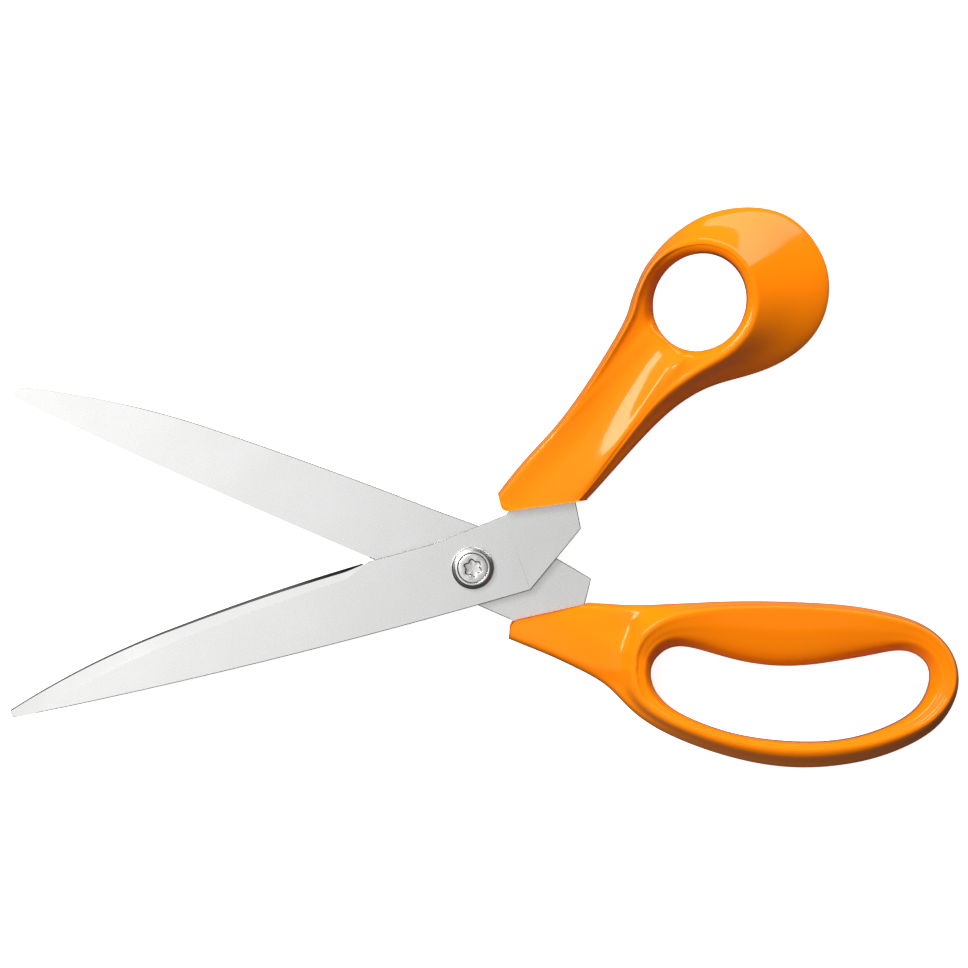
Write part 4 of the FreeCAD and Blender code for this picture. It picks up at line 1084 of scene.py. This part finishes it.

# %% [markdown]
# ## Pivot
#
# A nut under the back blade carries a long sleeve that both blades turn on. A wavy spring washer
# keeps the blades together, a thin glide washer keeps them apart, and a screw with a six-lobed
# recess holds a bevelled collar on top. Each of these is a profile turned round the axis. One
# Geometry Nodes tree makes the collar, the screw and the spring washer: it takes a profile's
# points one by one, turns each into a ring and joins the rings. Named inputs add what a lathe
# can't give: lobes, waves and a thread.
# Afterwards the walls of the screw's recess get a dark steel whose colour is painted shade.

# %% A Geometry Nodes tree for turned pieces


def make_turned_tree():
    tree, given, result = new_group("turned_piece", "Geometry", {
        "Profile": "Geometry", "Steps round": 96, "Lobes": 0.0, "Lobe depth": 0.0, "Waves": 0.0,
        "Wave height": 0.0, "Thread pitch": 1.0, "Thread depth": 0.0, "Finish": "Material"},
        {"Piece": "Geometry"})
    profile = given["Profile"]
    rows = add_node(tree, "GeometryNodeAttributeDomainSize", {"Geometry": profile}).outputs["Point Count"]
    around = math_node(tree, "ADD", given["Steps round"], 1.0)
    sheet = add_node(tree, "GeometryNodeMeshGrid", {"Vertices X": rows,
                                                    "Vertices Y": around}).outputs["Mesh"]
    index = tree.nodes.new("GeometryNodeInputIndex").outputs[0]
    row = math_node(tree, "FLOOR", math_node(tree, "DIVIDE", index, around))
    column = math_node(tree, "SUBTRACT", index, product(tree, row, around))
    share = math_node(tree, "DIVIDE", column, given["Steps round"])
    angle = product(tree, share, math.tau)

    def sampled(field, kind):
        return add_node(tree, "GeometryNodeSampleIndex", {
            "Geometry": profile, "Value": field, "Index": row},
            data_type=kind, domain="POINT").outputs["Value"]

    def weight(name):
        return sampled(add_node(tree, "GeometryNodeInputNamedAttribute", {"Name": name},
                                data_type="FLOAT").outputs["Attribute"], "FLOAT")

    point = add_node(tree, "ShaderNodeSeparateXYZ", {
        0: sampled(tree.nodes.new("GeometryNodeInputPosition").outputs[0], "FLOAT_VECTOR")}).outputs
    lobe = product(tree, math_node(tree, "COSINE", product(tree, angle, given["Lobes"])),
                   given["Lobe depth"], weight("lobed"))
    helix = math_node(tree, "ADD", math_node(tree, "DIVIDE", point["Z"], given["Thread pitch"]), share)
    groove = product(tree, math_node(tree, "PINGPONG", helix, 0.5), given["Thread depth"],
                     product(tree, weight("threaded"), -2.0))
    radius = math_node(tree, "ADD", math_node(tree, "ADD", point["X"], lobe), groove)
    wave = math_node(tree, "COSINE", product(tree, angle, given["Waves"]))
    spot = add_node(tree, "ShaderNodeCombineXYZ", {
        "X": product(tree, radius, math_node(tree, "COSINE", angle)),
        "Y": product(tree, radius, math_node(tree, "SINE", angle)),
        "Z": math_node(tree, "ADD", point["Z"], product(tree, wave, given["Wave height"]))}).outputs[0]
    placed = add_node(tree, "GeometryNodeSetPosition", {"Geometry": sheet, "Position": spot}).outputs[0]
    joined = add_node(tree, "GeometryNodeMergeByDistance", {"Geometry": placed,
                                                            "Distance": 0.002}).outputs[0]
    real = add_node(tree, "GeometryNodeRealizeInstances", {"Geometry": joined}).outputs[0]
    dressed = add_node(tree, "GeometryNodeSetMaterial", {"Geometry": real, "Material": given["Finish"]})
    tree.links.new(dressed.outputs["Geometry"], result["Piece"])
    return tree


turned_piece = make_turned_tree()
print("tree:", turned_piece.name)

# %% A profile with its corners rounded


def turned_profile(name, corners, lobed=(), threaded=(), closed=False):
    """A mesh of points (radius, 0, height); corners are (radius, height, size of the rounding).

    lobed and threaded are the numbers of the corners that those two inputs move.
    """
    points, marks = [], []
    for k, (r, z, size) in enumerate(corners):
        here = np.array((r, z))
        before = np.array(corners[k - 1][:2]) if k or closed else here
        after = np.array(corners[(k + 1) % len(corners)][:2]) if k + 1 < len(corners) or closed else here
        mark = (k in lobed, k in threaded)
        if size:
            first = here + (before - here) / np.linalg.norm(before - here) * size
            last = here + (after - here) / np.linalg.norm(after - here) * size
            turn = [(1 - t) ** 2 * first + 2 * t * (1 - t) * here + t ** 2 * last
                    for t in (0, 0.25, 0.5, 0.75, 1)]
        else:
            turn = [here]
        points += turn
        marks += [mark] * len(turn)
    if closed:
        points.append(points[0])
        marks.append(marks[0])
    mesh = bpy.data.meshes.new(name)
    mesh.from_pydata([(p[0], 0, p[1]) for p in points], [(k, k + 1) for k in range(len(points) - 1)], [])
    for column, label in enumerate(("lobed", "threaded")):
        layer = mesh.attributes.new(label, "FLOAT", "POINT")
        layer.data.foreach_set("value", [float(mark[column]) for mark in marks])
    return mesh


print("profiles ready")

# %% Collar, screw and spring washer
COLLAR_SEAT, HEAD_SEAT, HEAD_TOP, COLLAR_TOP = GLIDE + THICK, 3.7, 5.2, 5.4
COLLAR_RADIUS, COLLAR_BORE, COLLAR_RECESS = 5.75, 2.15, 4.15
WASHER_BORE, WASHER_RADIUS, WASHER_LOW, WASHER_HIGH = 4.36, 5.38, -3.18, -2.92
SCREW_TIP, HEAD_RADIUS, SHANK_RADIUS = HEAD_SEAT - 6.5, 4.0, 2.0
RECESS, RECESS_FLOOR = 2.2, HEAD_TOP - 1.2
THREAD_PITCH, THREAD_DEPTH = 0.7, 0.38

screw_corners = [(0, SCREW_TIP, 0), (SHANK_RADIUS - 0.5, SCREW_TIP, 0),
                 (SHANK_RADIUS - 0.1, SCREW_TIP + 0.4, 0)]
first_thread = len(screw_corners)
screw_corners += [(SHANK_RADIUS, z, 0)
                  for z in np.arange(SCREW_TIP + 0.5, HEAD_SEAT - 0.6, THREAD_PITCH / 6)]
last_thread = len(screw_corners)
screw_corners += [(SHANK_RADIUS, HEAD_SEAT, 0), (HEAD_RADIUS, HEAD_SEAT, 0.1),
                  (HEAD_RADIUS, HEAD_TOP, 0.28)]
recess_rows = len(screw_corners)
screw_corners += [(RECESS + 0.14, HEAD_TOP, 0.08), (RECESS, HEAD_TOP - 0.16, 0.05),
                  (RECESS - 0.25, RECESS_FLOOR, 0.02), (0, RECESS_FLOOR, 0)]
TURNED = {
    "pivot_collar": (turned_profile("collar_profile", [
        (COLLAR_BORE, COLLAR_SEAT, 0.05), (COLLAR_RADIUS, COLLAR_SEAT, 0.08),
        (COLLAR_RADIUS, COLLAR_SEAT + 1.82, 0.2), (4.6, COLLAR_TOP, 0.18),
        (COLLAR_RECESS, COLLAR_TOP, 0.1), (COLLAR_RECESS, HEAD_SEAT, 0.08),
        (COLLAR_BORE, HEAD_SEAT, 0.05)], closed=True), {}),
    "pivot_screw": (turned_profile("screw_profile", screw_corners,
                                   lobed=range(recess_rows, recess_rows + 3),
                                   threaded=range(first_thread, last_thread)),
                    {"Lobes": 6.0, "Lobe depth": 0.28, "Thread pitch": THREAD_PITCH,
                     "Thread depth": THREAD_DEPTH}),
    "spring_washer": (turned_profile("washer_profile", [
        (WASHER_BORE, WASHER_LOW, 0.05), (WASHER_RADIUS, WASHER_LOW, 0.05),
        (WASHER_RADIUS, WASHER_HIGH, 0.05), (WASHER_BORE, WASHER_HIGH, 0.05)], closed=True),
        {"Waves": 3.0, "Wave height": 0.11}),
}
for name, (profile, values) in TURNED.items():
    mesh = grown_mesh(profile, turned_piece, {"Steps round": 144, "Finish": turned_steel, **values})
    crease_edges(mesh, degrees=28)
    # In the screw, the walls of the recess take the dark steel: painted shade.
    for face in mesh.faces:
        middle = face.calc_center_median()
        wall = abs(face.normal.z) < 0.6 and middle.xy.length < RECESS + 0.5 and middle.z > HEAD_SEAT
        face.material_index = int(name == "pivot_screw" and wall)
    finished_piece(name + "_turned", mesh, into_model("finger"), [turned_steel, recess_painted_shade_steel],
                   "finger_half", "pivot_steel", name)

# %% [markdown]
# ## Pieces that stay as packed
#
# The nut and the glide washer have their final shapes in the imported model, so they only get
# their finish.

# %% Finishes for the nut and the glide washer
for name, finish in (("pivot_nut", turned_steel), ("glide_washer", glide_plastic)):
    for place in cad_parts[name].material_slots:
        place.material = finish
    print(name, "gets", finish.name)

# %% [markdown]
# ## Floor
#
# A plain pale floor under the lowest point completes the studio. It glows a little for the
# camera alone, so the surround stays pale without lighting the shears from below.

# %% Floor
FLOOR_REACH, FLOOR_Z = 6.0, cad_box[0][2] - 0.0002
floor_data = bpy.data.meshes.new("floor")
floor_data.from_pydata([(x * FLOOR_REACH, y * FLOOR_REACH, FLOOR_Z)
                        for x, y in ((-1, -1), (1, -1), (1, 1), (-1, 1))], [], [(0, 1, 2, 3)])
floor = bpy.data.objects.new("floor", floor_data)
scene.collection.objects.link(floor)
paper, tree, shader = new_material("floor_paper")
seen = add_node(tree, "ShaderNodeLightPath").outputs["Is Camera Ray"]
tree.links.new(stretched(tree, seen, 0.0, 1.0, 0.12, 0.9), shader.inputs["Base Color"])
tree.links.new(math_node(tree, "MULTIPLY", seen, 0.85), shader.inputs["Emission Strength"])
shader.inputs["Emission Color"].default_value = (1, 1, 1, 1)
shader.inputs["Roughness"].default_value = 0.9
shader.inputs["Specular IOR Level"].default_value = 0.1
floor_data.materials.append(paper)
print("floor at", round(FLOOR_Z / MM, 1), "mm")
